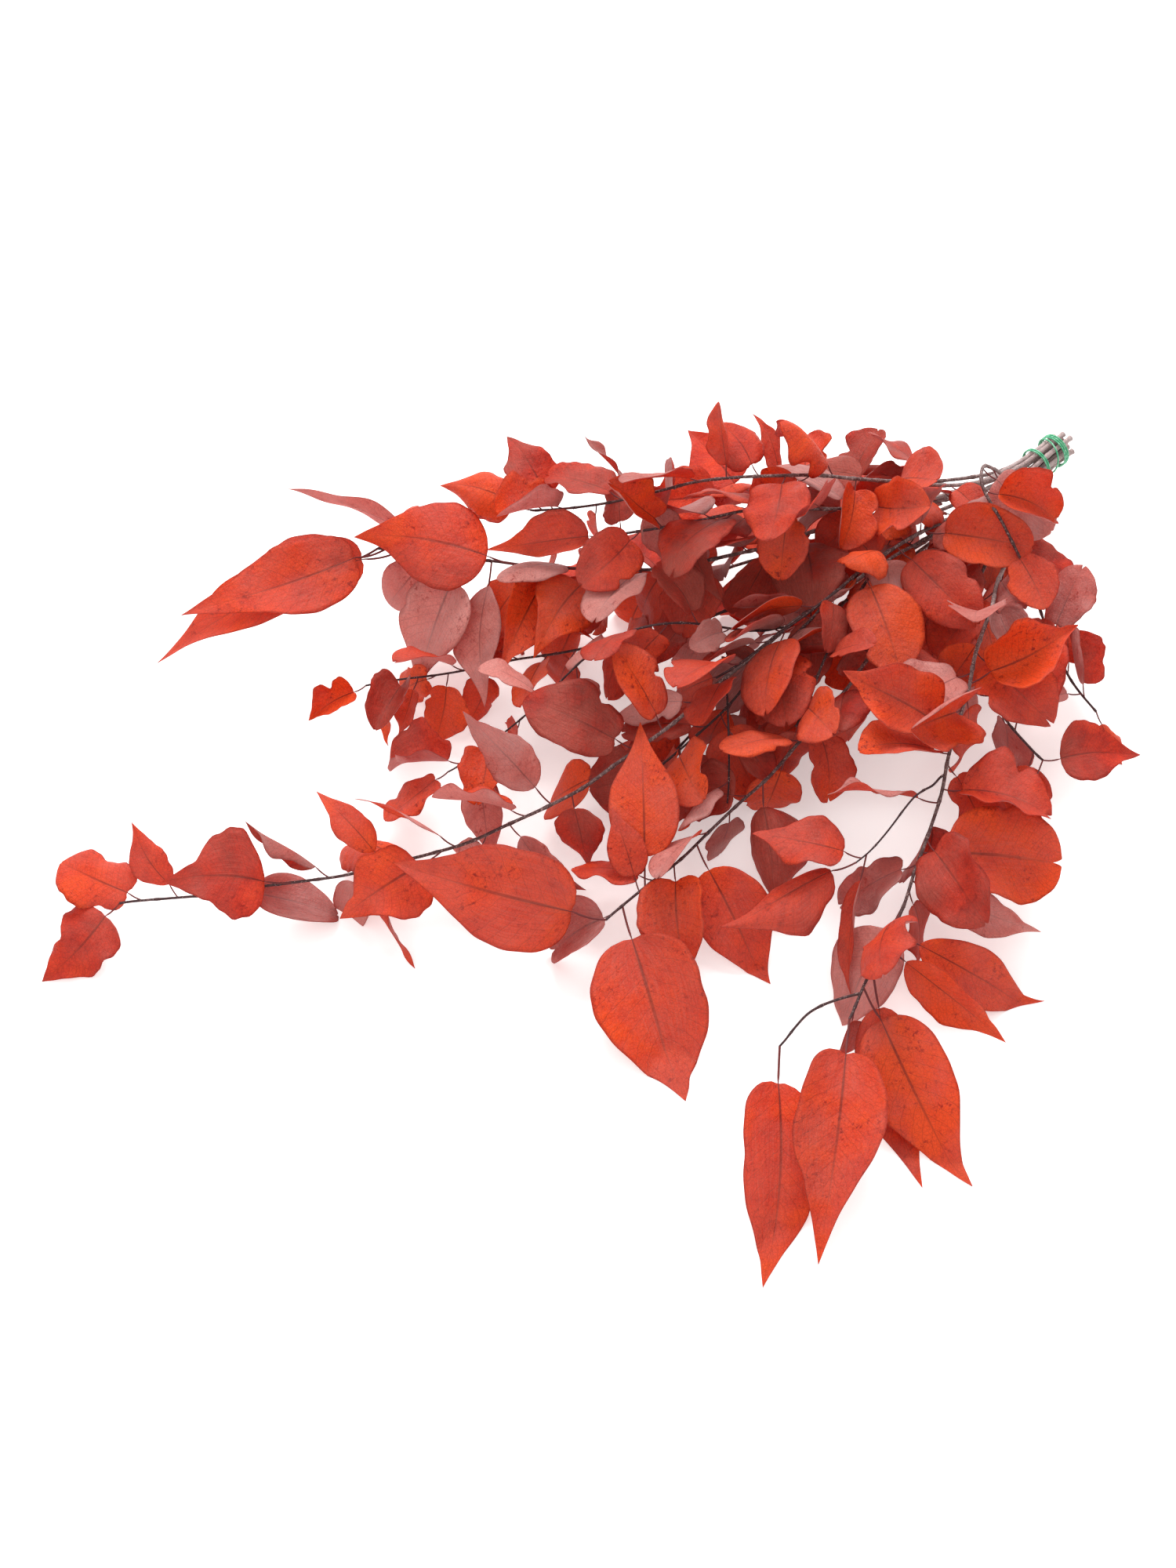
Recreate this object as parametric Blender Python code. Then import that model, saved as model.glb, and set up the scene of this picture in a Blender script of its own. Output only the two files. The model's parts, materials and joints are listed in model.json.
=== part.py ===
"""A tied bunch of dyed, preserved eucalyptus branches, lying on a table.

Cut stems lie side by side under a tie of green wire at the +X end and fan out towards -X. Each branch
is one solid: its stem, joined with the smaller leaves that grew on it. The larger leaves are solids of
their own. Metres, +Z up; the table is z = 0 and the origin is the middle of the bunch's footprint.
"""

import math
import random
from dataclasses import dataclass
from enum import Enum

import bmesh
import bpy
import numpy as np
from mathutils.bvhtree import BVHTree

NAME = "eucalyptus_bunch"

# The tie, in metres from the middle of the footprint.
TIE = (0.346, 0.014, 0.036)
CUT_END = 0.027          # stems run on past the tie to their cut ends
STRAIGHT = 0.015         # and lie side by side for this far before they fan out
RING_PITCH = 0.0039      # spacing of the stems in the tie, with 0.3 mm between them
THICKEST = 3.5           # millimetres, the thickest stem in the tie
WIRE_RADIUS = 0.00055
WIRE_CLEARANCE = 0.0009
WIRE_PITCH = 0.0016
WIRE_START = 0.020       # the wire's first turn, towards the cut ends from the tie's middle
WIRE_SLANT = 0.013       # how far the slanting turn travels along the stems
CLOSE_TURNS = 3          # close turns before the slanting one
ALL_TURNS = 6
TURN_POINTS = 12

# Stems
ROUTE_STEP = 0.005       # spacing of the points that a route is worked out at
STEM_STEP = 0.025        # spacing of the points that a stem's tube is drawn through
TWIG_STEP = 0.010
STEM_GAP = 0.0020        # kept between stems while they are pushed apart
PUSH_ROUNDS = 90
WOBBLE = math.radians(4)
WOBBLE_LENGTH = 0.075
UNEVEN_CUT = 0.004       # the most that a stem's cut end stands out from the others
TAPER = 0.8              # a stem thins along its length by this power
LOOK_AHEAD = 0.02        # share of the length over which a stem's direction is read

# Leaves
BLADE_THICKNESS = 0.0011
PETIOLE_RADIUS = 0.0007
TABLE_GAP = 0.0012       # lowest height of a blade's middle surface
NODE_GAP = 0.0007        # between a separate leaf's stalk and the stem it grew on
BARE_TIE = 0.042         # no leaf comes nearer the tie than this
CLEARANCE = 0.0005       # kept between one leaf and whatever lies beside it
OWN_SOLID_FROM = 0.060   # hand-set leaves at least this long are solids of their own
TRIES = 24
GOLDEN_TURN = math.radians(137.5)
FORWARD = 0.75           # how much a ruled leaf leans along its stem rather than straight out
DROOP = 12.0             # degrees that a ruled leaf hangs below the way it grew
FACE_TURN = 50.0         # degrees, the most that a ruled leaf is rolled
RULED_ARCH = 30.0        # degrees that a ruled leaf bends down along its length
SIZE_RANGE = (0.86, 1.14)
LOOSE = (8.0, 3.0)       # degrees that a second attempt may turn, and what each later one adds
SHRINK = 0.018           # how much smaller each later attempt is
PETIOLE = (0.004, 0.13)  # stalk length: a constant, and a share of the blade's length
CROWDED = 0.35           # share of the leaf spacing within which a hand-set leaf takes a ruled one's place
AT_TIP = 0.985           # a leaf set past this share grows straight out of its stem's end
STEEPEST = 0.35          # the least slant of a stalk to its stem that is allowed for
FOLDS = (4.0, 20.0)      # degrees that the two halves of a blade rise towards each other
TWIST = 28.0             # degrees, the most that a blade twists along its length

STEM_BARK = ("stem_bark", (0.055, 0.022, 0.020), 0.75)
LEAF_RED = ("leaf_red", (0.60, 0.060, 0.028), 0.60)
WIRE_GREEN = ("tie_wire_green", (0.030, 0.270, 0.110), 0.35)


class Form(Enum):
    """A blade's outline: half width is proportional to u**a * (1 - u)**b along it."""

    ROUND = (0.48, 0.58)
    HEART = (0.50, 1.05)
    LANCE = (0.75, 1.10)


@dataclass(frozen=True)
class Leaf:
    """One leaf set by hand: where it grows, where it points, and its size in centimetres."""

    at: float            # share of the branch's length
    heading: float       # compass angle in degrees, anticlockwise from +X
    rise: float          # degrees above level
    roll: float          # degrees about its own midrib
    length: float
    width: float
    form: Form = Form.HEART
    arch: float = 20.0   # degrees that the blade bends down along its length

    @property
    def separate(self):
        """True for a leaf that is a solid of its own."""
        return self.length / 100.0 >= OWN_SOLID_FROM


@dataclass(frozen=True)
class Foliage:
    """The leaves that follow the plant's own rule: from a share of the length up to the tip."""

    start: float
    spacing: float
    length: float        # centimetres
    slim: float          # width over length
    form: Form


@dataclass(frozen=True)
class Branch:
    """One branch: how far it reaches, how it turns, and how high it lies."""

    name: str
    reach: float
    headings: tuple      # degrees, at the tie and at the tip
    turn_at: float       # share of the length where half of the turn is made
    crest: tuple         # share of the length, height
    tip_height: float
    thickness: tuple     # millimetres, at the butt and at the tip
    place: tuple         # where it sits in the tie: ring, degrees from +Y
    foliage: Foliage
    leaves: tuple = ()
    parent: str = ""
    parent_at: float = 0.0
    sharpness: float = 0.45   # share of the length that the turn is spread over


R, L = Form.ROUND, Form.LANCE

BRANCHES = (
    Branch("branch_long_left", 0.708, (181, 141), 0.64, (0.35, 0.068), 0.024, (THICKEST, 1.5), (1, 300),
           Foliage(0.10, 0.026, 4.7, 0.86, R), (
               Leaf(1.00, 180, -12, -15, 5.5, 4.5), Leaf(1.00, 260, -20, -15, 4.5, 3.5),
               Leaf(0.98, 115, 10, -20, 5.0, 4.5, R), Leaf(0.95, 90, 30, -30, 4.5, 2.5, L),
               Leaf(0.95, 250, -25, 20, 5.0, 4.5, R), Leaf(0.90, 315, -15, 10, 5.5, 4.0, R),
               Leaf(0.85, 145, 15, -30, 6.0, 5.5), Leaf(0.82, 105, 25, 75, 5.0, 2.0, L),
               Leaf(0.78, 240, -30, 70, 5.5, 1.8, L), Leaf(0.77, 100, 35, -25, 5.0, 2.5, L),
               Leaf(0.72, 155, 0, -30, 6.0, 5.5), Leaf(0.71, 110, 25, 60, 5.5, 1.8, L),
               Leaf(0.66, 270, -20, 50, 5.0, 2.2, L), Leaf(0.62, 110, 45, -35, 6.5, 3.0, L),
               Leaf(0.60, 240, -50, 30, 4.0, 3.0), Leaf(0.53, 120, 25, -25, 6.0, 4.5, R),
               Leaf(0.50, 80, 50, 30, 5.0, 4.0, R))),
    Branch("branch_lower_left", 0.480, (194, 178), 0.60, (0.45, 0.070), 0.032, (3.4, 1.6), (1, 240),
           Foliage(0.15, 0.016, 4.8, 0.88, R), (
               Leaf(0.97, 240, -15, 10, 11.5, 7.2), Leaf(1.00, 128, 5, -28, 12.0, 6.8),
               Leaf(0.93, 58, 22, 10, 9.0, 6.2), Leaf(0.84, 250, -20, 20, 8.5, 5.0),
               Leaf(0.93, 250, -35, 10, 3.5, 3.0, R), Leaf(0.94, 75, 35, -20, 4.5, 3.0),
               Leaf(0.98, 150, -30, -20, 4.0, 4.0, R), Leaf(0.72, 225, -20, 25, 6.5, 4.5))),
    Branch("branch_lower_right", 0.480, (209, 199), 0.76, (0.45, 0.085), 0.040, (3.4, 1.7), (2, 172),
           Foliage(0.14, 0.017, 5.0, 0.85, R), (
               Leaf(1.00, 217, -5, -8, 12.6, 5.4),
               Leaf(0.95, 250, -12, 12, 11.5, 5.4), Leaf(0.92, 233, -24, 25, 12.0, 4.6),
               Leaf(0.86, 295, -25, 40, 9.5, 3.5, L), Leaf(0.88, 270, -15, 60, 7.5, 3.0, L),
               Leaf(0.82, 195, -30, 15, 8.0, 5.0), Leaf(0.79, 300, -20, 50, 7.5, 2.6, L),
               Leaf(0.75, 315, -5, 20, 7.0, 6.5, R), Leaf(0.68, 140, 25, 60, 6.0, 2.5, L),
               Leaf(0.66, 300, 10, -10, 5.5, 5.5, R), Leaf(0.58, 120, 30, -20, 6.5, 5.0),
               Leaf(0.50, 330, 30, 30, 6.0, 4.5), Leaf(0.61, 165, 12, -20, 5.9, 5.3, R),
               Leaf(0.54, 185, 8, -12, 5.9, 5.4, R)),
           sharpness=0.30),
    Branch("branch_right_arc", 0.245, (192, 260), 0.40, (0.42, 0.118), 0.022, (3.3, 1.4), (2, 120),
           Foliage(0.22, 0.060, 4.0, 0.85, R), (
               Leaf(0.26, 262, -30, 15, 4.8, 4.2, R), Leaf(0.36, 285, -25, 20, 5.0, 4.4, R),
               Leaf(0.46, 300, -10, 25, 4.2, 3.8, R), Leaf(1.00, 255, -35, 10, 3.6, 2.6, L),
               Leaf(0.94, 140, 5, 20, 4.2, 2.6),
               Leaf(0.95, 60, 35, 20, 3.6, 3.4, R), Leaf(0.88, 30, 30, -20, 3.8, 3.6, R),
               Leaf(0.82, 135, 0, 45, 4.2, 2.0, L), Leaf(0.80, 20, 45, -15, 4.2, 3.4, R)),
           sharpness=0.22),
    Branch("branch_top_arc", 0.375, (172, 126), 0.55, (0.62, 0.145), 0.100, (3.3, 1.5), (2, 80),
           Foliage(0.16, 0.017, 4.4, 0.88, R), (
               Leaf(1.00, 120, 15, -20, 5.0, 4.0), Leaf(0.96, 80, 25, -15, 5.0, 4.0),
               Leaf(0.82, 110, 60, 50, 4.5, 2.2, L), Leaf(0.80, 260, -55, 40, 5.0, 2.4, L),
               Leaf(0.66, 50, 65, 40, 4.0, 2.6, R))),
    Branch("branch_upper_left", 0.475, (170, 124), 0.55, (0.50, 0.086), 0.074, (3.4, 1.6), (2, 50),
           Foliage(0.14, 0.014, 4.9, 0.88, R), (
               Leaf(0.99, 138, 11, -22, 13.0, 5.6), Leaf(1.00, 152, -14, -12, 14.0, 4.2, L),
               Leaf(0.97, 144, -14, -14, 11.5, 5.2), Leaf(0.90, 110, 20, 65, 9.0, 2.4, L),
               Leaf(0.80, 130, 16, -15, 8.5, 6.0), Leaf(0.88, 195, -25, 15, 7.5, 6.5),
               Leaf(0.84, 215, -30, 50, 8.0, 3.5, L), Leaf(0.76, 190, -15, -15, 7.0, 5.0),
               Leaf(0.70, 165, -10, -20, 7.0, 5.5))),
    Branch("branch_hanging_leaves", 0.490, (172, 146), 0.50, (0.35, 0.050), 0.036, (3.2, 1.2), (1, 0),
           Foliage(0.14, 0.018, 4.0, 0.82, R), (
               Leaf(1.00, 165, -10, -20, 3.4, 2.8), Leaf(0.97, 210, -35, 40, 3.2, 2.0),
               Leaf(0.93, 200, -30, 20, 3.4, 2.0), Leaf(0.89, 215, -30, -20, 3.6, 3.0, R))),
    Branch("branch_grey_top", 0.330, (178, 136), 0.55, (0.70, 0.124), 0.104, (3.3, 1.6), (1, 60),
           Foliage(0.16, 0.012, 4.8, 0.88, R), (
               Leaf(1.00, 140, 0, -15, 6.5, 3.4), Leaf(0.90, 120, 45, -20, 4.0, 3.0, R),
               Leaf(0.86, 250, -30, 45, 4.5, 2.2, L))),
    Branch("branch_top_right", 0.210, (160, 132), 0.50, (0.60, 0.058), 0.048, (3.2, 1.4), (2, 20),
           Foliage(0.24, 0.012, 4.4, 0.88, R), (
               Leaf(1.00, 140, 5, -25, 6.0, 4.5), Leaf(0.97, 80, 12, -15, 5.5, 4.5),
               Leaf(0.85, 60, 60, 45, 4.6, 2.4, L), Leaf(0.80, 30, 20, 20, 4.0, 3.6, R),
               Leaf(0.62, 20, 30, -20, 3.8, 3.2, R))),
    Branch("branch_middle_thin", 0.375, (184, 180), 0.50, (0.50, 0.084), 0.046, (3.2, 1.3), (0, 0),
           Foliage(0.16, 0.012, 5.0, 0.90, R)),
    Branch("branch_centre_crest", 0.320, (187, 170), 0.60, (0.60, 0.100), 0.076, (3.2, 1.4), (1, 120),
           Foliage(0.18, 0.012, 5.1, 0.90, R), (
               Leaf(0.62, 240, -10, 15, 6.0, 5.2, R), Leaf(0.52, 262, 0, 20, 6.0, 5.0, R),
               Leaf(0.42, 282, 5, 20, 6.0, 5.2, R))),
    Branch("branch_centre_low", 0.315, (184, 202), 0.60, (0.65, 0.086), 0.068, (3.2, 1.4), (1, 180),
           Foliage(0.19, 0.012, 5.0, 0.90, R)),
    Branch("branch_right_low", 0.280, (203, 258), 0.65, (0.50, 0.062), 0.036, (3.3, 1.5), (2, 207),
           Foliage(0.20, 0.017, 4.6, 0.88, R), (
               Leaf(1.00, 325, -5, 25, 5.5, 4.0), Leaf(1.00, 200, -20, 20, 6.0, 4.5),
               Leaf(0.90, 30, 30, -20, 6.0, 5.0, R), Leaf(0.80, 140, 15, 20, 5.0, 4.0, R))),
    Branch("branch_low_pile", 0.375, (175, 184), 0.50, (0.60, 0.024), 0.020, (3.2, 1.4), (2, 265),
           Foliage(0.14, 0.015, 4.8, 0.88, R)),
    Branch("branch_upper_back", 0.395, (165, 147), 0.50, (0.40, 0.048), 0.034, (3.2, 1.4), (2, 345),
           Foliage(0.12, 0.015, 4.8, 0.88, R)),
    Branch("twig_long_left", 0.225, (148, 165), 0.40, (0.40, 0.094), 0.034, (1.7, 1.0), (0, 0),
           Foliage(0.10, 0.020, 3.8, 0.84, R), (
               Leaf(1.00, 165, -15, 25, 4.0, 3.0, R), Leaf(0.90, 225, -15, 35, 6.0, 3.0, L),
               Leaf(0.70, 120, 40, 30, 3.6, 2.4, R)),
           parent="branch_long_left", parent_at=0.34),
    Branch("twig_drop", 0.080, (228, 220), 0.50, (0.30, 0.068), 0.046, (1.5, 1.0), (0, 0),
           Foliage(0.30, 0.022, 3.8, 0.80, R),
           parent="branch_long_left", parent_at=0.42),
    Branch("twig_lower_right", 0.080, (186, 178), 0.50, (0.40, 0.082), 0.066, (1.5, 1.0), (0, 0),
           Foliage(0.60, 0.040, 4.0, 0.85, R), (
               Leaf(1.00, 150, -12, 20, 7.5, 5.5), Leaf(0.95, 120, 15, 15, 5.5, 4.5),
               Leaf(0.90, 215, -35, 60, 7.0, 2.2, L)),
           parent="branch_lower_right", parent_at=0.64),
    Branch("twig_tip", 0.056, (148, 186), 0.45, (0.40, 0.038), 0.032, (1.7, 1.3), (0, 0),
           Foliage(0.90, 0.040, 3.0, 0.85, R), (
               Leaf(1.00, 221, -10, -6, 13.0, 5.2),),
           parent="branch_lower_right", parent_at=0.96, sharpness=0.80),
)


def smooth(x):
    """0 below 0, 1 above 1, and an S curve between."""
    x = np.clip(x, 0.0, 1.0)
    return x * x * (3.0 - 2.0 * x)


def in_tie(branch):
    """The stem's place across the tie, as (y, z) from the tie's middle."""
    ring, degrees = branch.place
    angle = math.radians(degrees)
    return ring * RING_PITCH * math.cos(angle), ring * RING_PITCH * math.sin(angle)


def height_along(branch, share, start):
    """Height of the route: up from its start to the crest, and down to the tip."""
    crest_at, crest = branch.crest
    rising = start + (crest - start) * smooth(share / crest_at)
    falling = crest + (branch.tip_height - crest) * smooth((share - crest_at) / (1.0 - crest_at))
    return np.where(share < crest_at, rising, falling)


def free_steps(branch):
    """How many steps the free stretch has: a twig's whole reach, or a stem's past its straight stretch."""
    tied = 0.0 if branch.parent else STRAIGHT
    return round((branch.reach - tied) / ROUTE_STEP)


def free_route(branch, start, number):
    """Points every ROUTE_STEP from start to the tip."""
    count = free_steps(branch)
    share = np.linspace(0.0, 1.0, count + 1)
    first, last = (math.radians(h) for h in branch.headings)
    turned = smooth((share - branch.turn_at) / branch.sharpness + 0.5)
    waves = 2 * math.pi * share * count * ROUTE_STEP / WOBBLE_LENGTH
    sway = WOBBLE * np.sin(waves + number) * smooth(share * 4)
    heading = first + (last - first) * turned + sway
    across = np.cumsum(np.column_stack((np.cos(heading), np.sin(heading)))[:-1], axis=0) * ROUTE_STEP
    plan = np.vstack(((0.0, 0.0), across))
    heights = height_along(branch, share, start[2])
    return np.column_stack((start[0] + plan[:, 0], start[1] + plan[:, 1], heights))


def tied_route(branch, number):
    """The whole stem of a branch in the tie, from its cut end to its tip."""
    across, up = in_tie(branch)
    shortfall = UNEVEN_CUT * math.sin(2.3 * number)
    bend = np.array((TIE[0] - STRAIGHT, TIE[1] + across, TIE[2] + up))
    end = bend + (STRAIGHT + CUT_END + shortfall, 0.0, 0.0)
    count = round((end[0] - bend[0]) / ROUTE_STEP)
    straight = np.linspace(end, bend, count, endpoint=False)
    return np.vstack((straight, free_route(branch, bend, number)))


def radii_along(branch, count):
    """Stem radius at each of count points, from the butt to the tip."""
    butt, tip = (mm / 2000.0 for mm in branch.thickness)
    return butt + (tip - butt) * np.linspace(0.0, 1.0, count) ** TAPER


def push_apart(routes, radii, held):
    """Moves the free stretches of crossing stems apart until their surfaces are STEM_GAP clear."""
    owner = np.concatenate([np.full(len(r), i) for i, r in enumerate(routes)])
    points = np.vstack(routes)
    thick = np.concatenate(radii)
    free = np.concatenate([np.arange(len(r)) >= h for r, h in zip(routes, held)])
    others = owner[:, None] != owner[None, :]
    need = thick[:, None] + thick[None, :] + STEM_GAP
    starts = np.cumsum([0] + [len(r) for r in routes])
    for _ in range(PUSH_ROUNDS):
        apart = points[:, None, :] - points[None, :, :]
        distance = np.sqrt((apart ** 2).sum(axis=2)) + 1e-9
        short = np.where(others & (distance < need), need - distance, 0.0)
        if short.max() < 1e-5:
            break
        move = (apart / distance[:, :, None] * short[:, :, None]).sum(axis=1) * 0.5
        move[~free] = 0.0
        for a, b in zip(starts[:-1], starts[1:]):
            spread = np.stack([np.convolve(move[a:b, k], (0.25, 0.5, 0.25), "same") for k in range(3)], 1)
            move[a:b] = np.where(free[a:b, None], spread + 0.5 * move[a:b], 0.0)
        points = points + move
        points[:, 2] = np.maximum(points[:, 2], thick + TABLE_GAP)
    return [points[a:b] for a, b in zip(starts[:-1], starts[1:])]


def all_routes():
    """Name to (points, radii) for every branch and twig, clear of each other."""
    routes, radii, held = [], [], []
    places = {}
    for number, branch in enumerate(BRANCHES):
        if branch.parent:
            on = places[branch.parent]
            spot = route_point(routes[on], branch.parent_at, held[on])
            heading = math.radians(branch.headings[0])
            out = radii[on][held[on]] + branch.thickness[0] / 2000.0 + NODE_GAP
            start = spot + (math.cos(heading) * out, math.sin(heading) * out, 0.0)
            route = free_route(branch, start, number)
            held.append(0)
        else:
            route = tied_route(branch, number)
            held.append(len(route) - free_steps(branch) - 1)
        places[branch.name] = len(routes)
        routes.append(route)
        radii.append(radii_along(branch, len(route)))
    clear = push_apart(routes, radii, held)
    return {b.name: (on_chords(b, clear[i]), radii[i], held[i]) for i, b in enumerate(BRANCHES)}


def drawn_points(branch, count):
    """Indices of the route's points that the tube is drawn through."""
    skip = round((TWIG_STEP if branch.parent else STEM_STEP) / ROUTE_STEP)
    return list(range(0, count - 1, skip)) + [count - 1]


def on_chords(branch, route):
    """The route with every point moved onto the straight runs of the tube, so that leaves root in it."""
    keep = drawn_points(branch, len(route))
    every = np.arange(len(route))
    return np.column_stack([np.interp(every, keep, route[keep, k]) for k in range(3)])


def route_point(route, share, first=0):
    """The point at a share of the way from index first to the tip."""
    place = first + share * (len(route) - 1 - first)
    low = min(int(place), len(route) - 2)
    return route[low] + (route[low + 1] - route[low]) * (place - low)


def tangent_at(route, share, first=0):
    """Unit direction of growth at a share of the way along."""
    later = route_point(route, min(share + LOOK_AHEAD, 1.0), first)
    ahead = later - route_point(route, max(share - LOOK_AHEAD, 0.0), first)
    return ahead / np.linalg.norm(ahead)


@dataclass
class Blade:
    """One placed leaf, ready to be drawn."""

    root: np.ndarray
    heading: float
    rise: float
    roll: float
    length: float
    width: float
    form: Form
    arch: float
    twist: float
    fold: float
    petiole: float

    def axes(self):
        """Unit vectors along the midrib, across the blade and out of its face."""
        h, r, q = self.heading, self.rise, self.roll
        ahead = np.array((math.cos(h) * math.cos(r), math.sin(h) * math.cos(r), math.sin(r)))
        level = np.array((-math.sin(h), math.cos(h), 0.0))
        up = np.cross(ahead, level)
        return ahead, level * math.cos(q) + up * math.sin(q), up * math.cos(q) - level * math.sin(q)

    def half_width(self, u):
        """Half of the blade's width at a share u of its length."""
        a, b = self.form.value
        top = (a / (a + b)) ** a * (b / (a + b)) ** b
        return 0.5 * self.width * max(u, 0.0) ** a * max(1.0 - u, 0.0) ** b / top

    def point(self, u, v):
        """A point of the blade's middle surface, u along it and v across from -1 to 1."""
        ahead, side, up = self.axes()
        bent = self.arch * u
        along = self.length * (math.sin(bent) / self.arch)
        down = self.length * ((1.0 - math.cos(bent)) / self.arch)
        face = up * math.cos(bent) + ahead * math.sin(bent)
        turned = self.twist * u
        reach = self.half_width(u)
        out = v * reach * math.cos(self.fold)
        lift = abs(v) * reach * math.sin(self.fold)
        spot = self.root + ahead * (self.petiole + along) - up * down
        spot = spot + side * (out * math.cos(turned) - lift * math.sin(turned))
        spot = spot + face * (out * math.sin(turned) + lift * math.cos(turned))
        spot[2] = max(spot[2], TABLE_GAP)
        return spot

    def rings(self, stations, grow):
        """Diamond sections from the petiole's root to the last station, and the tip's point."""
        ahead, side, up = self.axes()
        slim = PETIOLE_RADIUS + grow
        rings = []
        for middle in (self.root, self.point(0.0, 0.0)):
            rings.append([middle + side * slim, middle + up * slim, middle - side * slim, middle - up * slim])
        thick = 0.5 * BLADE_THICKNESS + grow
        for u in stations:
            middle, left, right = self.point(u, 0.0), self.point(u, 1.0), self.point(u, -1.0)
            out = (left - right) / np.linalg.norm(left - right) * grow
            face = np.cross(self.point(u + 0.05, 0.0) - self.point(u - 0.05, 0.0), left - right)
            face = face / np.linalg.norm(face) * thick
            rings.append([left + out, middle + face, right - out, middle - face])
        return rings, self.point(1.0, 0.0) + ahead * grow

    def mesh(self, grow=0.0, with_petiole=True):
        """(vertices, faces) of the leaf as one closed solid, its two skins split along the same diagonals."""
        stations = (0.12, 0.36, 0.72) if self.length >= 0.05 else (0.18, 0.60)
        rings, tip = self.rings(stations, grow)
        if not with_petiole:
            rings = rings[2:]
        points = [p for ring in rings for p in ring] + [tip]
        faces = [(0, 2, 1), (0, 3, 2)]
        for k in range(len(rings) - 1):
            for j in range(4):
                a, b = 4 * k + j, 4 * k + (j + 1) % 4
                if j < 2:
                    faces += [(a, b, b + 4), (a, b + 4, a + 4)]
                else:
                    faces += [(a, b, a + 4), (b, b + 4, a + 4)]
        last = 4 * (len(rings) - 1)
        faces += [(last + j, last + (j + 1) % 4, len(points) - 1) for j in range(4)]
        return points, faces


def ruled_leaves(branch, route, first):
    """Leaf settings along the branch: a golden turn round the stem from one to the next."""
    foliage = branch.foliage
    length = branch.reach * (1.0 - foliage.start)
    count = int(length / foliage.spacing)
    taken = [leaf.at for leaf in branch.leaves]
    found = []
    for k in range(count):
        share = foliage.start + (1.0 - foliage.start) * (k + 0.5) / count
        if any(abs(share - at) < CROWDED * foliage.spacing / branch.reach for at in taken):
            continue
        ahead = tangent_at(route, share, first)
        level = np.cross((0.0, 0.0, 1.0), ahead)
        level = level / np.linalg.norm(level)
        turn = GOLDEN_TURN * k
        away = level * math.cos(turn) + np.cross(ahead, level) * math.sin(turn)
        growth = ahead * FORWARD + away
        heading = math.degrees(math.atan2(growth[1], growth[0]))
        rise = math.degrees(math.atan2(growth[2], math.hypot(growth[0], growth[1]))) - DROOP
        small, large = SIZE_RANGE
        size = foliage.length * (small + (large - small) * ((k * 0.618) % 1.0))
        roll = FACE_TURN * math.sin(GOLDEN_TURN * k)
        found.append(Leaf(share, heading, rise, roll, size, size * foliage.slim, foliage.form, RULED_ARCH))
    return found


def stand_off(ahead, growth, radius, at):
    """How far out along its stalk a separate leaf starts, to be clear of its own stem."""
    clear = radius + PETIOLE_RADIUS + NODE_GAP
    if at > AT_TIP:
        return clear
    slant = float(np.linalg.norm(np.cross(ahead, growth)))
    return clear / max(slant, STEEPEST)


def placed(leaf, route, radii, first, name, slot, attempt):
    """A leaf's Blade at one attempt: the first is as it was set, later ones are turned at random."""
    draw = random.Random(f"{name} {slot} {attempt}")
    loose = 0.0 if attempt == 0 else LOOSE[0] + LOOSE[1] * attempt
    heading = math.radians(leaf.heading + draw.uniform(-loose, loose))
    rise = math.radians(leaf.rise + draw.uniform(-0.6, 0.6) * loose)
    roll = math.radians(leaf.roll + draw.uniform(-1.2, 1.2) * loose)
    shrink = 1.0 - SHRINK * attempt
    length = leaf.length / 100.0 * shrink
    place = first + leaf.at * (len(route) - 1 - first)
    radius = radii[min(round(place), len(radii) - 1)]
    ahead = np.array((math.cos(heading) * math.cos(rise), math.sin(heading) * math.cos(rise), math.sin(rise)))
    root = route_point(route, leaf.at, first)
    if leaf.separate:
        root = root + ahead * stand_off(ahead, tangent_at(route, leaf.at, first), radius, leaf.at)
    return Blade(root, heading, rise, roll, length, leaf.width / 100.0 * shrink, leaf.form,
                 math.radians(leaf.arch + draw.uniform(-6, 10)), math.radians(draw.uniform(-TWIST, TWIST)),
                 math.radians(draw.uniform(*FOLDS)), PETIOLE[0] + PETIOLE[1] * length)


def tube(points, radii, name):
    """The mesh of a round bar through the points."""
    curve = bpy.data.curves.new(name + "_line", "CURVE")
    curve.dimensions = "3D"
    curve.bevel_depth = 1.0
    curve.bevel_resolution = 2
    curve.use_fill_caps = True
    spline = curve.splines.new("POLY")
    spline.points.add(len(points) - 1)
    for spot, place, radius in zip(spline.points, points, radii):
        spot.co = (*place, 1.0)
        spot.radius = radius
    line = bpy.data.objects.new(name + "_line", curve)
    bpy.context.scene.collection.objects.link(line)
    bpy.context.view_layer.update()
    mesh = bpy.data.meshes.new_from_object(line.evaluated_get(bpy.context.evaluated_depsgraph_get()))
    bpy.data.objects.remove(line)
    tidy = bmesh.new()
    tidy.from_mesh(mesh)
    bmesh.ops.remove_doubles(tidy, verts=tidy.verts, dist=0.00001)
    bmesh.ops.recalc_face_normals(tidy, faces=tidy.faces)
    tidy.to_mesh(mesh)
    tidy.free()
    return mesh


def stem_mesh(branch, route, radii):
    """A stem's tube, drawn through every few points of its route."""
    keep = drawn_points(branch, len(route))
    return tube(route[keep], radii[keep], branch.name)


def solid_mesh(name, blade):
    """The mesh of one leaf, a closed solid."""
    points, faces = blade.mesh()
    mesh = bpy.data.meshes.new(name)
    mesh.from_pydata([tuple(p) for p in points], [], faces)
    return mesh


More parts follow.
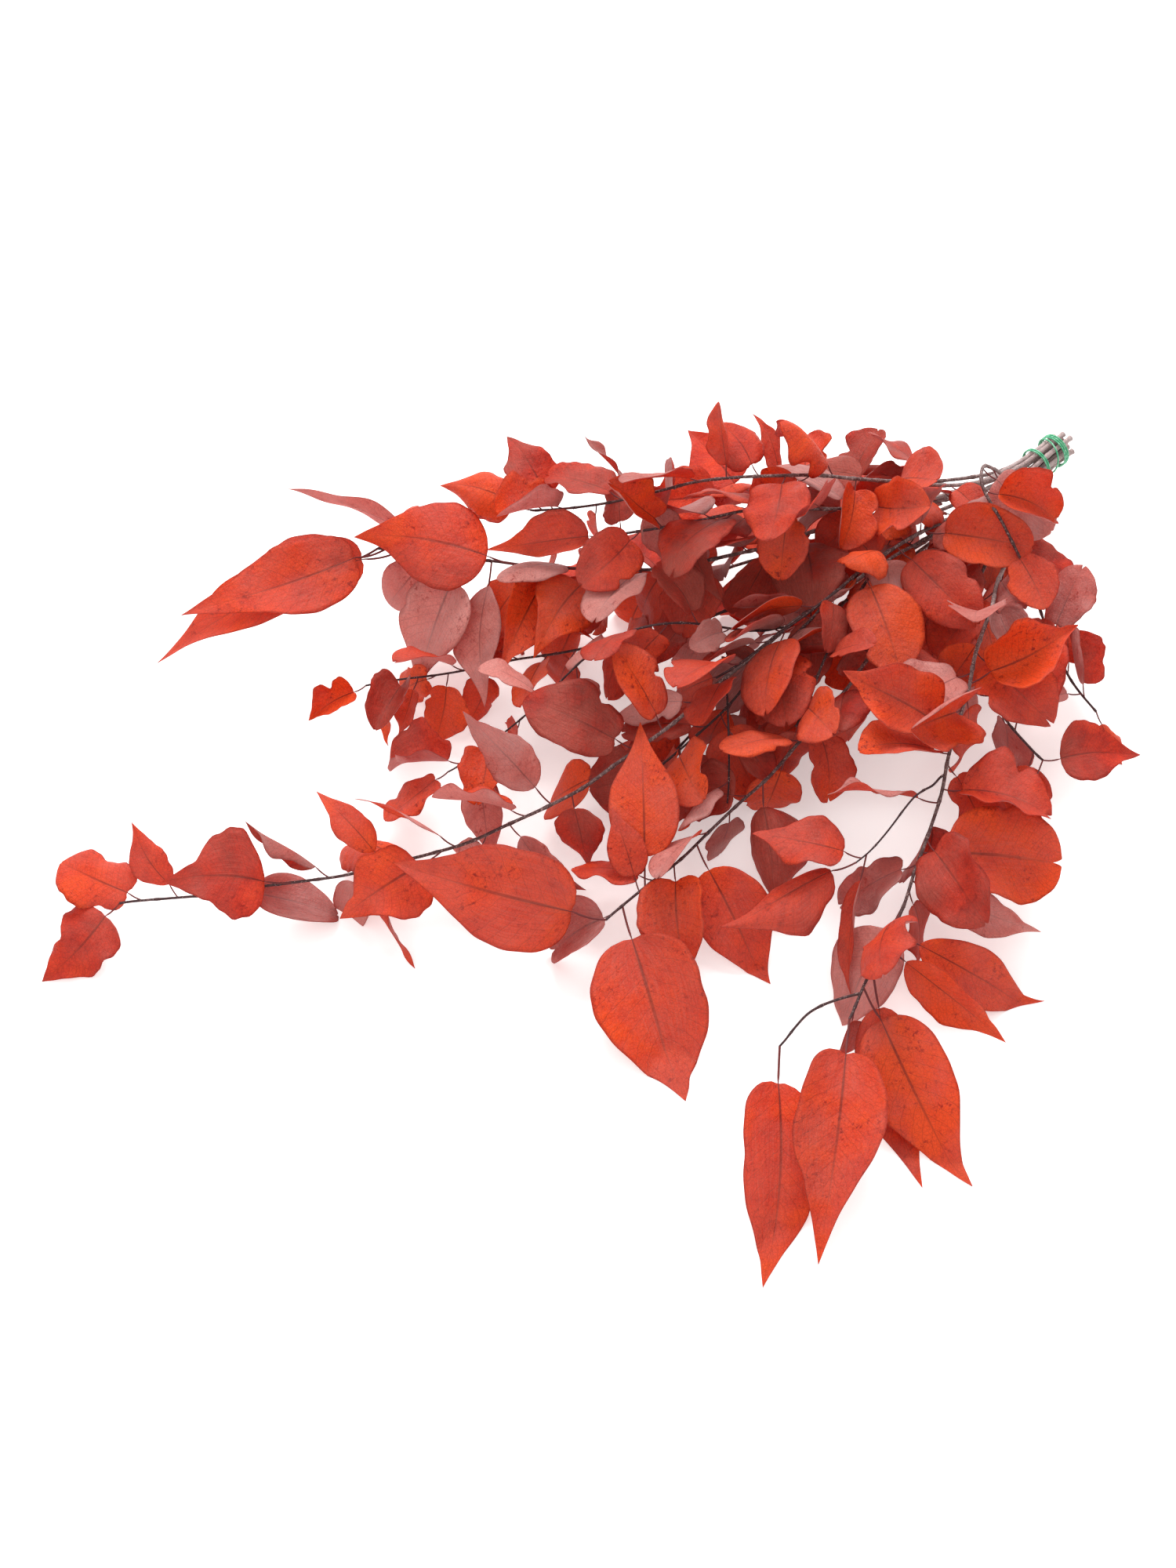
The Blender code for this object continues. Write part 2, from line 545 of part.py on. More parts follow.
def joined(stem, blades, name, collection):
    """The branch as one object: its stem united with the leaves that grew on it, one after another."""
    branch = bpy.data.objects.new(name, stem)
    collection.objects.link(branch)
    helpers = []
    for number, blade in enumerate(blades):
        leaf = bpy.data.objects.new(f"{name}_{number}", solid_mesh(f"{name}_{number}", blade))
        bpy.context.scene.collection.objects.link(leaf)
        helpers.append(leaf)
        union = branch.modifiers.new(f"grown_on_{number}", "BOOLEAN")
        union.operation = "UNION"
        union.solver = "EXACT"
        union.object = leaf
    bpy.context.view_layer.update()
    whole = bpy.data.meshes.new_from_object(branch.evaluated_get(bpy.context.evaluated_depsgraph_get()))
    branch.modifiers.clear()
    branch.data = whole
    for leaf in helpers:
        bpy.data.objects.remove(leaf)
    return branch


def tree_of(points, faces):
    """A search tree of a closed mesh."""
    return BVHTree.FromPolygons([tuple(p) for p in points], faces)


def mesh_tree(mesh):
    """A search tree of a Blender mesh."""
    return BVHTree.FromPolygons([v.co for v in mesh.vertices], [tuple(p.vertices) for p in mesh.polygons])


@dataclass
class Grown:
    """What has been placed so far, for a new leaf to stay clear of."""

    stems: dict
    trees: list
    boxes: list

    def clear_of_all(self, blade, own, separate):
        """True where the leaf, grown by the clearance, cuts no stem and no other leaf."""
        points, faces = blade.mesh(grow=CLEARANCE)
        low, high = np.min(points, axis=0), np.max(points, axis=0)
        if high[0] > TIE[0] - BARE_TIE:
            return False
        whole = tree_of(points, faces)
        for name, (tree, stem_low, stem_high) in self.stems.items():
            if name == own or (low > stem_high).any() or (high < stem_low).any():
                continue
            if whole.overlap(tree):
                return False
        near = blade.mesh(grow=CLEARANCE, with_petiole=separate)
        if tree_of(*near).overlap(self.stems[own][0]):
            return False
        for tree, (other_low, other_high) in zip(self.trees, self.boxes):
            if (low > other_high).any() or (high < other_low).any():
                continue
            if whole.overlap(tree):
                return False
        return True

    def add(self, blade):
        """Remembers a placed leaf."""
        points, faces = blade.mesh()
        self.trees.append(tree_of(points, faces))
        self.boxes.append((np.min(points, axis=0), np.max(points, axis=0)))


def grow_leaf(leaf, branch, route, radii, first, slot, grown):
    """The first attempt at a leaf that lies clear of everything, or None."""
    for attempt in range(TRIES):
        blade = placed(leaf, route, radii, first, branch.name, slot, attempt)
        if grown.clear_of_all(blade, branch.name, leaf.separate):
            grown.add(blade)
            return blade
    return None


def material(finish):
    """The Principled material of a (name, colour, roughness)."""
    name, colour, roughness = finish
    made = bpy.data.materials.get(name) or bpy.data.materials.new(name)
    made.use_nodes = True
    made.diffuse_color = (*colour, 1.0)
    shader = made.node_tree.nodes["Principled BSDF"]
    shader.inputs["Base Color"].default_value = (*colour, 1.0)
    shader.inputs["Roughness"].default_value = roughness
    return made


def wire_points():
    """The tie: three close turns near the cut ends, one slanting turn, and two close turns."""
    radius = 2 * RING_PITCH + THICKEST / 2000.0 + WIRE_CLEARANCE + WIRE_RADIUS
    points = []
    for k in range(ALL_TURNS * TURN_POINTS + 1):
        turn = k / TURN_POINTS
        slant = WIRE_SLANT * float(smooth(turn - CLOSE_TURNS))
        angle = 2 * math.pi * turn
        points.append((TIE[0] + WIRE_START - turn * WIRE_PITCH - slant,
                       TIE[1] + radius * math.cos(angle), TIE[2] + radius * math.sin(angle)))
    return points


def dress(mesh, *finishes):
    """Gives a mesh its materials, with round pieces shaded smooth."""
    mesh.materials.clear()
    for finish in finishes:
        mesh.materials.append(material(finish))
    mesh.shade_smooth()
    mesh.set_sharp_from_angle(angle=math.radians(40))


def build_tie(collection):
    """The green wire, wound round the stems."""
    points = wire_points()
    mesh = tube(points, [WIRE_RADIUS] * len(points), "tie_wire")
    dress(mesh, WIRE_GREEN)
    collection.objects.link(bpy.data.objects.new("tie_wire", mesh))


def build_own_leaves(branch, blades, collection):
    """The large leaves of a branch, each a solid of its own."""
    for number, blade in enumerate(blades, 1):
        name = f"leaf_{branch.name.removeprefix('branch_')}_{number}"
        mesh = solid_mesh(name, blade)
        dress(mesh, LEAF_RED)
        collection.objects.link(bpy.data.objects.new(name, mesh))


def main():
    """Builds the bunch in its own collection."""
    for obj in list(bpy.data.objects):
        bpy.data.objects.remove(obj, do_unlink=True)
    collection = bpy.data.collections.new(NAME)
    bpy.context.scene.collection.children.link(collection)
    routes = all_routes()
    stems = {b.name: stem_mesh(b, *routes[b.name][:2]) for b in BRANCHES}
    boxes = {n: np.array([v.co for v in m.vertices]) for n, m in stems.items()}
    grown = Grown({n: (mesh_tree(m), boxes[n].min(axis=0), boxes[n].max(axis=0)) for n, m in stems.items()},
                  [], [])
    own = {b.name: [] for b in BRANCHES}
    joint = {b.name: [] for b in BRANCHES}
    for branch in BRANCHES:
        for slot, leaf in enumerate(branch.leaves):
            blade = grow_leaf(leaf, branch, *routes[branch.name], slot, grown)
            if blade:
                (own if leaf.length / 100.0 >= OWN_SOLID_FROM else joint)[branch.name].append(blade)
    for branch in BRANCHES:
        route, radii, first = routes[branch.name]
        for slot, leaf in enumerate(ruled_leaves(branch, route, first), 100):
            blade = grow_leaf(leaf, branch, route, radii, first, slot, grown)
            if blade:
                joint[branch.name].append(blade)
    for branch in BRANCHES:
        whole = joined(stems[branch.name], joint[branch.name], branch.name, collection)
        dress(whole.data, STEM_BARK)
        build_own_leaves(branch, own[branch.name], collection)
    build_tie(collection)
    print(sum(map(len, own.values())), "separate leaves,", sum(map(len, joint.values())), "joined leaves")


main()
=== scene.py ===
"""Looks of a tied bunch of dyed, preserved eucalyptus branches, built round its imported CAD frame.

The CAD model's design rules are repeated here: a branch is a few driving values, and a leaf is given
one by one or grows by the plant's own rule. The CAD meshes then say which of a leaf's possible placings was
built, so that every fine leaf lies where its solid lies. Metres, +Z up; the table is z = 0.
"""

import json
import logging
import math
import random
from dataclasses import dataclass, field
from enum import Enum

import bpy
import numpy as np
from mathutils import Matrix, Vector
from mathutils.bvhtree import BVHTree
from mathutils.kdtree import KDTree

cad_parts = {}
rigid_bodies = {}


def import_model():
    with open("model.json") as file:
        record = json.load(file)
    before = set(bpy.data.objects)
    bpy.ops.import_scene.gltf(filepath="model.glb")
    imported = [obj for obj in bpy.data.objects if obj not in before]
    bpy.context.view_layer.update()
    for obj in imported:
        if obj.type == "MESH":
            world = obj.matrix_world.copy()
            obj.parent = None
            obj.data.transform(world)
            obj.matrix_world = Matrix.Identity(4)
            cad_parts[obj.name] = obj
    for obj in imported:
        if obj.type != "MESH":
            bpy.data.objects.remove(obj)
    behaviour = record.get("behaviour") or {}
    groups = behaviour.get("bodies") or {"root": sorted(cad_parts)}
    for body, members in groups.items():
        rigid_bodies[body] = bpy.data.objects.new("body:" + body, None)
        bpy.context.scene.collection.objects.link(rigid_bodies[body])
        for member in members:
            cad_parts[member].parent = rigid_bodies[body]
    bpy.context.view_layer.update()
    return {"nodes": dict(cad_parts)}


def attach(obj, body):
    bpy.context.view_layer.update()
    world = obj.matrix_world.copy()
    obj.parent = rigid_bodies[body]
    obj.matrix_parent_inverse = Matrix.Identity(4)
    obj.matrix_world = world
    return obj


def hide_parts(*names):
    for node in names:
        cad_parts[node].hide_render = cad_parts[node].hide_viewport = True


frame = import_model()
LOG = logging.getLogger("eucalyptus_bunch")

# The tie and the stems, as the CAD model has them
TIE = (0.346, 0.014, 0.036)
CUT_END = 0.027          # stems run on past the tie to their cut ends
STRAIGHT = 0.015         # and lie side by side for this far before they fan out
RING_PITCH = 0.0039      # spacing of the stems in the tie
THICKEST = 3.5           # millimetres, the thickest stem in the tie
ROUTE_STEP = 0.005
STEM_STEP = 0.025
TWIG_STEP = 0.010
STEM_GAP = 0.0020
PUSH_ROUNDS = 90
WOBBLE = math.radians(4)
WOBBLE_LENGTH = 0.075
UNEVEN_CUT = 0.004
TAPER = 0.8
LOOK_AHEAD = 0.02

# Leaves, as the CAD model places them
PETIOLE_RADIUS = 0.0007
TABLE_GAP = 0.0012
NODE_GAP = 0.0007
OWN_SOLID_FROM = 0.060   # listed leaves at least this long are solids of their own
TRIES = 24
GOLDEN_TURN = math.radians(137.5)
FORWARD = 0.75
DROOP = 12.0
FACE_TURN = 50.0
RULED_ARCH = 30.0
SIZE_RANGE = (0.86, 1.14)
LOOSE = (8.0, 3.0)
SHRINK = 0.018
PETIOLE = (0.004, 0.13)
CROWDED = 0.35
AT_TIP = 0.985
STEEPEST = 0.35
MORE_ARCH = (-6, 10)
FOLDS = (4.0, 20.0)
TWIST = 28.0
SAME_PLACE = 0.0002      # a CAD vertex within this of a leaf's tip says that the leaf was built there

# What the fine leaves add
CURLED = 0.28            # share of the young leaves that curl up or down strongly
CURLS = (-0.75, 0.85)
PLAIN_CURL = 0.12
UNLIKE_HALVES = (-0.25, 0.25)
ROUND_LOBES = (0.04, 0.16)
OTHER_LOBES = (0.0, 0.05)
BLUNTEST = 0.10
DENTS = (0.0, 0.10, 0.20, 0.30)
DENT_PLACES = (0.25, 0.85)
WAVES = (1.0, 2.4)       # ruffles along a blade
RIBBON_WAVES = (0.8, 1.4)
GROWN_TONES = (0.52, 0.82)
YOUNG_TONES = (1.3, 1.2)
FLIPPED = 0.24           # share of the young leaves that show their underside
RIBBONS_FLIPPED = 0.45
LEAF_THICK = 0.00045
RIM_THINNING = 0.45
TABLE_CLEAR = 0.0004
SETTLE_ROUNDS = 24
SETTLE_SHARE = 0.84
SETTLE_WIDTH = 0.985
SKIN_GRID = (32, 13)     # points along and across a blade
LARGE_GRID = (46, 17)
LARGE_FROM = 0.085


class Form(Enum):
    """A blade's outline: half width is proportional to u**a * (1 - u)**b along it."""

    ROUND = (0.48, 0.58)
    HEART = (0.50, 1.05)
    LANCE = (0.75, 1.10)


@dataclass(frozen=True)
class Leaf:
    """One listed leaf: where it grows, where it points, and its size in centimetres."""

    at: float            # share of the branch's length
    heading: float       # compass angle in degrees, anticlockwise from +X
    rise: float          # degrees above level
    roll: float          # degrees about its own midrib
    length: float
    width: float
    form: Form = Form.HEART
    arch: float = 20.0   # degrees that the blade bends down along its length

    @property
    def separate(self) -> bool:
        """True for a leaf that is a solid of its own."""
        return self.length / 100.0 >= OWN_SOLID_FROM


@dataclass(frozen=True)
class Foliage:
    """The leaves that follow the plant's own rule: from a share of the length up to the tip."""

    start: float
    spacing: float
    length: float        # centimetres
    slim: float          # width over length
    form: Form


def compass(heading: float, rise: float) -> np.ndarray:
    """The unit vector of a heading and a rise, in radians."""
    return np.array((math.cos(heading) * math.cos(rise), math.sin(heading) * math.cos(rise), math.sin(rise)))


def smooth(x: np.ndarray | float) -> np.ndarray:
    """0 below 0, 1 above 1, and an S curve between."""
    x = np.clip(x, 0.0, 1.0)
    return x * x * (3.0 - 2.0 * x)


@dataclass(frozen=True)
class Branch:
    """One branch's driving values: how far it reaches, how it turns, and how high it lies."""

    name: str
    reach: float
    headings: tuple      # degrees, at the tie and at the tip
    turn_at: float       # share of the length where half of the turn is made
    crest: tuple         # share of the length, height
    tip_height: float
    thickness: tuple     # millimetres, at the butt and at the tip
    place: tuple         # where it sits in the tie: ring, degrees from +Y
    foliage: Foliage
    leaves: tuple = ()
    parent: str = ""
    parent_at: float = 0.0
    sharpness: float = 0.45   # share of the length that the turn is spread over

    def free_steps(self) -> int:
        """How many steps the free stretch has: a twig's reach, or a stem's past its straight stretch."""
        tied = 0.0 if self.parent else STRAIGHT
        return round((self.reach - tied) / ROUTE_STEP)

    def heights(self, share: np.ndarray, start: float) -> np.ndarray:
        """Height of the route: up from its start to the crest, and down to the tip."""
        crest_at, crest = self.crest
        rising = start + (crest - start) * smooth(share / crest_at)
        falling = crest + (self.tip_height - crest) * smooth((share - crest_at) / (1.0 - crest_at))
        return np.where(share < crest_at, rising, falling)

    def free_route(self, start: np.ndarray, number: int) -> np.ndarray:
        """Points every ROUTE_STEP from start to the tip.

        Args:
            start: where the free stretch begins.
            number: the branch's place in the list, which shifts its wobble.

        Returns:
            One row a point.
        """
        count = self.free_steps()
        share = np.linspace(0.0, 1.0, count + 1)
        first, last = (math.radians(h) for h in self.headings)
        turned = smooth((share - self.turn_at) / self.sharpness + 0.5)
        waves = 2 * math.pi * share * count * ROUTE_STEP / WOBBLE_LENGTH
        sway = WOBBLE * np.sin(waves + number) * smooth(share * 4)
        heading = first + (last - first) * turned + sway
        across = np.cumsum(np.column_stack((np.cos(heading), np.sin(heading)))[:-1], axis=0) * ROUTE_STEP
        plan = np.vstack(((0.0, 0.0), across))
        heights = self.heights(share, start[2])
        return np.column_stack((start[0] + plan[:, 0], start[1] + plan[:, 1], heights))

    def tied_route(self, number: int) -> np.ndarray:
        """The whole stem of a branch in the tie, from its cut end to its tip."""
        ring, degrees = self.place
        angle = math.radians(degrees)
        across, up = ring * RING_PITCH * math.cos(angle), ring * RING_PITCH * math.sin(angle)
        shortfall = UNEVEN_CUT * math.sin(2.3 * number)
        bend = np.array((TIE[0] - STRAIGHT, TIE[1] + across, TIE[2] + up))
        end = bend + (STRAIGHT + CUT_END + shortfall, 0.0, 0.0)
        count = round((end[0] - bend[0]) / ROUTE_STEP)
        straight = np.linspace(end, bend, count, endpoint=False)
        return np.vstack((straight, self.free_route(bend, number)))

    def radii(self, count: int) -> np.ndarray:
        """Stem radius at each of count points, from the butt to the tip."""
        butt, tip = (mm / 2000.0 for mm in self.thickness)
        return butt + (tip - butt) * np.linspace(0.0, 1.0, count) ** TAPER

    def drawn(self, count: int) -> list[int]:
        """Indices of the route's points that the CAD tube is drawn through."""
        skip = round((TWIG_STEP if self.parent else STEM_STEP) / ROUTE_STEP)
        return list(range(0, count - 1, skip)) + [count - 1]


@dataclass
class Route:
    """The line that a stem follows, its radius, and where its free stretch begins."""

    points: np.ndarray
    radii: np.ndarray
    first: int

    def point(self, share: float) -> np.ndarray:
        """The point at a share of the way from the tie to the tip."""
        place = self.first + share * (len(self.points) - 1 - self.first)
        low = min(int(place), len(self.points) - 2)
        return self.points[low] + (self.points[low + 1] - self.points[low]) * (place - low)

    def direction(self, share: float) -> np.ndarray:
        """Unit direction of growth at a share of the way along."""
        ahead = self.point(min(share + LOOK_AHEAD, 1.0)) - self.point(max(share - LOOK_AHEAD, 0.0))
        return ahead / np.linalg.norm(ahead)

    def radius(self, share: float) -> float:
        """Stem radius at a share of the way along."""
        place = self.first + share * (len(self.points) - 1 - self.first)
        return float(self.radii[min(round(place), len(self.radii) - 1)])


R, L = Form.ROUND, Form.LANCE

BRANCHES = (
    Branch("branch_long_left", 0.708, (181, 141), 0.64, (0.35, 0.068), 0.024, (THICKEST, 1.5), (1, 300),
           Foliage(0.10, 0.026, 4.7, 0.86, R), (
               Leaf(1.00, 180, -12, -15, 5.5, 4.5), Leaf(1.00, 260, -20, -15, 4.5, 3.5),
               Leaf(0.98, 115, 10, -20, 5.0, 4.5, R), Leaf(0.95, 90, 30, -30, 4.5, 2.5, L),
               Leaf(0.95, 250, -25, 20, 5.0, 4.5, R), Leaf(0.90, 315, -15, 10, 5.5, 4.0, R),
               Leaf(0.85, 145, 15, -30, 6.0, 5.5), Leaf(0.82, 105, 25, 75, 5.0, 2.0, L),
               Leaf(0.78, 240, -30, 70, 5.5, 1.8, L), Leaf(0.77, 100, 35, -25, 5.0, 2.5, L),
               Leaf(0.72, 155, 0, -30, 6.0, 5.5), Leaf(0.71, 110, 25, 60, 5.5, 1.8, L),
               Leaf(0.66, 270, -20, 50, 5.0, 2.2, L), Leaf(0.62, 110, 45, -35, 6.5, 3.0, L),
               Leaf(0.60, 240, -50, 30, 4.0, 3.0), Leaf(0.53, 120, 25, -25, 6.0, 4.5, R),
               Leaf(0.50, 80, 50, 30, 5.0, 4.0, R))),
    Branch("branch_lower_left", 0.480, (194, 178), 0.60, (0.45, 0.070), 0.032, (3.4, 1.6), (1, 240),
           Foliage(0.15, 0.016, 4.8, 0.88, R), (
               Leaf(0.97, 240, -15, 10, 11.5, 7.2), Leaf(1.00, 128, 5, -28, 12.0, 6.8),
               Leaf(0.93, 58, 22, 10, 9.0, 6.2), Leaf(0.84, 250, -20, 20, 8.5, 5.0),
               Leaf(0.93, 250, -35, 10, 3.5, 3.0, R), Leaf(0.94, 75, 35, -20, 4.5, 3.0),
               Leaf(0.98, 150, -30, -20, 4.0, 4.0, R), Leaf(0.72, 225, -20, 25, 6.5, 4.5))),
    Branch("branch_lower_right", 0.480, (209, 199), 0.76, (0.45, 0.085), 0.040, (3.4, 1.7), (2, 172),
           Foliage(0.14, 0.017, 5.0, 0.85, R), (
               Leaf(1.00, 217, -5, -8, 12.6, 5.4),
               Leaf(0.95, 250, -12, 12, 11.5, 5.4), Leaf(0.92, 233, -24, 25, 12.0, 4.6),
               Leaf(0.86, 295, -25, 40, 9.5, 3.5, L), Leaf(0.88, 270, -15, 60, 7.5, 3.0, L),
               Leaf(0.82, 195, -30, 15, 8.0, 5.0), Leaf(0.79, 300, -20, 50, 7.5, 2.6, L),
               Leaf(0.75, 315, -5, 20, 7.0, 6.5, R), Leaf(0.68, 140, 25, 60, 6.0, 2.5, L),
               Leaf(0.66, 300, 10, -10, 5.5, 5.5, R), Leaf(0.58, 120, 30, -20, 6.5, 5.0),
               Leaf(0.50, 330, 30, 30, 6.0, 4.5), Leaf(0.61, 165, 12, -20, 5.9, 5.3, R),
               Leaf(0.54, 185, 8, -12, 5.9, 5.4, R)),
           sharpness=0.30),
    Branch("branch_right_arc", 0.245, (192, 260), 0.40, (0.42, 0.118), 0.022, (3.3, 1.4), (2, 120),
           Foliage(0.22, 0.060, 4.0, 0.85, R), (
               Leaf(0.26, 262, -30, 15, 4.8, 4.2, R), Leaf(0.36, 285, -25, 20, 5.0, 4.4, R),
               Leaf(0.46, 300, -10, 25, 4.2, 3.8, R), Leaf(1.00, 255, -35, 10, 3.6, 2.6, L),
               Leaf(0.94, 140, 5, 20, 4.2, 2.6),
               Leaf(0.95, 60, 35, 20, 3.6, 3.4, R), Leaf(0.88, 30, 30, -20, 3.8, 3.6, R),
               Leaf(0.82, 135, 0, 45, 4.2, 2.0, L), Leaf(0.80, 20, 45, -15, 4.2, 3.4, R)),
           sharpness=0.22),
    Branch("branch_top_arc", 0.375, (172, 126), 0.55, (0.62, 0.145), 0.100, (3.3, 1.5), (2, 80),
           Foliage(0.16, 0.017, 4.4, 0.88, R), (
               Leaf(1.00, 120, 15, -20, 5.0, 4.0), Leaf(0.96, 80, 25, -15, 5.0, 4.0),
               Leaf(0.82, 110, 60, 50, 4.5, 2.2, L), Leaf(0.80, 260, -55, 40, 5.0, 2.4, L),
               Leaf(0.66, 50, 65, 40, 4.0, 2.6, R))),
    Branch("branch_upper_left", 0.475, (170, 124), 0.55, (0.50, 0.086), 0.074, (3.4, 1.6), (2, 50),
           Foliage(0.14, 0.014, 4.9, 0.88, R), (
               Leaf(0.99, 138, 11, -22, 13.0, 5.6), Leaf(1.00, 152, -14, -12, 14.0, 4.2, L),
               Leaf(0.97, 144, -14, -14, 11.5, 5.2), Leaf(0.90, 110, 20, 65, 9.0, 2.4, L),
               Leaf(0.80, 130, 16, -15, 8.5, 6.0), Leaf(0.88, 195, -25, 15, 7.5, 6.5),
               Leaf(0.84, 215, -30, 50, 8.0, 3.5, L), Leaf(0.76, 190, -15, -15, 7.0, 5.0),
               Leaf(0.70, 165, -10, -20, 7.0, 5.5))),
    Branch("branch_hanging_leaves", 0.490, (172, 146), 0.50, (0.35, 0.050), 0.036, (3.2, 1.2), (1, 0),
           Foliage(0.14, 0.018, 4.0, 0.82, R), (
               Leaf(1.00, 165, -10, -20, 3.4, 2.8), Leaf(0.97, 210, -35, 40, 3.2, 2.0),
               Leaf(0.93, 200, -30, 20, 3.4, 2.0), Leaf(0.89, 215, -30, -20, 3.6, 3.0, R))),
    Branch("branch_grey_top", 0.330, (178, 136), 0.55, (0.70, 0.124), 0.104, (3.3, 1.6), (1, 60),
           Foliage(0.16, 0.012, 4.8, 0.88, R), (
               Leaf(1.00, 140, 0, -15, 6.5, 3.4), Leaf(0.90, 120, 45, -20, 4.0, 3.0, R),
               Leaf(0.86, 250, -30, 45, 4.5, 2.2, L))),
    Branch("branch_top_right", 0.210, (160, 132), 0.50, (0.60, 0.058), 0.048, (3.2, 1.4), (2, 20),
           Foliage(0.24, 0.012, 4.4, 0.88, R), (
               Leaf(1.00, 140, 5, -25, 6.0, 4.5), Leaf(0.97, 80, 12, -15, 5.5, 4.5),
               Leaf(0.85, 60, 60, 45, 4.6, 2.4, L), Leaf(0.80, 30, 20, 20, 4.0, 3.6, R),
               Leaf(0.62, 20, 30, -20, 3.8, 3.2, R))),
    Branch("branch_middle_thin", 0.375, (184, 180), 0.50, (0.50, 0.084), 0.046, (3.2, 1.3), (0, 0),
           Foliage(0.16, 0.012, 5.0, 0.90, R)),
    Branch("branch_centre_crest", 0.320, (187, 170), 0.60, (0.60, 0.100), 0.076, (3.2, 1.4), (1, 120),
           Foliage(0.18, 0.012, 5.1, 0.90, R), (
               Leaf(0.62, 240, -10, 15, 6.0, 5.2, R), Leaf(0.52, 262, 0, 20, 6.0, 5.0, R),
               Leaf(0.42, 282, 5, 20, 6.0, 5.2, R))),
    Branch("branch_centre_low", 0.315, (184, 202), 0.60, (0.65, 0.086), 0.068, (3.2, 1.4), (1, 180),
           Foliage(0.19, 0.012, 5.0, 0.90, R)),
    Branch("branch_right_low", 0.280, (203, 258), 0.65, (0.50, 0.062), 0.036, (3.3, 1.5), (2, 207),
           Foliage(0.20, 0.017, 4.6, 0.88, R), (
               Leaf(1.00, 325, -5, 25, 5.5, 4.0), Leaf(1.00, 200, -20, 20, 6.0, 4.5),
               Leaf(0.90, 30, 30, -20, 6.0, 5.0, R), Leaf(0.80, 140, 15, 20, 5.0, 4.0, R))),
    Branch("branch_low_pile", 0.375, (175, 184), 0.50, (0.60, 0.024), 0.020, (3.2, 1.4), (2, 265),
           Foliage(0.14, 0.015, 4.8, 0.88, R)),
    Branch("branch_upper_back", 0.395, (165, 147), 0.50, (0.40, 0.048), 0.034, (3.2, 1.4), (2, 345),
           Foliage(0.12, 0.015, 4.8, 0.88, R)),
    Branch("twig_long_left", 0.225, (148, 165), 0.40, (0.40, 0.094), 0.034, (1.7, 1.0), (0, 0),
           Foliage(0.10, 0.020, 3.8, 0.84, R), (
               Leaf(1.00, 165, -15, 25, 4.0, 3.0, R), Leaf(0.90, 225, -15, 35, 6.0, 3.0, L),
               Leaf(0.70, 120, 40, 30, 3.6, 2.4, R)),
           parent="branch_long_left", parent_at=0.34),
    Branch("twig_drop", 0.080, (228, 220), 0.50, (0.30, 0.068), 0.046, (1.5, 1.0), (0, 0),
           Foliage(0.30, 0.022, 3.8, 0.80, R),
           parent="branch_long_left", parent_at=0.42),
    Branch("twig_lower_right", 0.080, (186, 178), 0.50, (0.40, 0.082), 0.066, (1.5, 1.0), (0, 0),
           Foliage(0.60, 0.040, 4.0, 0.85, R), (
               Leaf(1.00, 150, -12, 20, 7.5, 5.5), Leaf(0.95, 120, 15, 15, 5.5, 4.5),
               Leaf(0.90, 215, -35, 60, 7.0, 2.2, L)),
           parent="branch_lower_right", parent_at=0.64),
    Branch("twig_tip", 0.056, (148, 186), 0.45, (0.40, 0.038), 0.032, (1.7, 1.3), (0, 0),
           Foliage(0.90, 0.040, 3.0, 0.85, R), (
               Leaf(1.00, 221, -10, -6, 13.0, 5.2),),
           parent="branch_lower_right", parent_at=0.96, sharpness=0.80),
)


def quads(grid: np.ndarray) -> np.ndarray:
    """The four-sided faces of a grid of point numbers."""
    return np.stack((grid[:-1, :-1], grid[1:, :-1], grid[1:, 1:], grid[:-1, 1:]), axis=-1).reshape(-1, 4)


def mark(mesh: bpy.types.Mesh, name: str, values: list) -> None:
    """Stores one number a point of a mesh, for its nodes to read."""
    mesh.attributes.new(name, "FLOAT", "POINT").data.foreach_set("value", np.array(values, np.float32))


def push_apart(routes: list, radii: list, held: list) -> list:
    """Moves the free stretches of crossing stems apart until their surfaces are STEM_GAP clear.

    Args:
        routes: each stem's points.
        radii: each stem's radii.
        held: how many points of each stem may not move.

    Returns:
        The routes, moved.
    """
    owner = np.concatenate([np.full(len(r), i) for i, r in enumerate(routes)])
    points = np.vstack(routes)
    thick = np.concatenate(radii)
    free = np.concatenate([np.arange(len(r)) >= h for r, h in zip(routes, held)])
    others = owner[:, None] != owner[None, :]
    need = thick[:, None] + thick[None, :] + STEM_GAP
    starts = np.cumsum([0] + [len(r) for r in routes])
    for _ in range(PUSH_ROUNDS):
        apart = points[:, None, :] - points[None, :, :]
        distance = np.sqrt((apart ** 2).sum(axis=2)) + 1e-9
        short = np.where(others & (distance < need), need - distance, 0.0)
        if short.max() < 1e-5:
            break
        move = (apart / distance[:, :, None] * short[:, :, None]).sum(axis=1) * 0.5
        move[~free] = 0.0
        for a, b in zip(starts[:-1], starts[1:]):
            spread = np.stack([np.convolve(move[a:b, k], (0.25, 0.5, 0.25), "same") for k in range(3)], 1)
            move[a:b] = np.where(free[a:b, None], spread + 0.5 * move[a:b], 0.0)
        points = points + move
        points[:, 2] = np.maximum(points[:, 2], thick + TABLE_GAP)
    return [points[a:b] for a, b in zip(starts[:-1], starts[1:])]


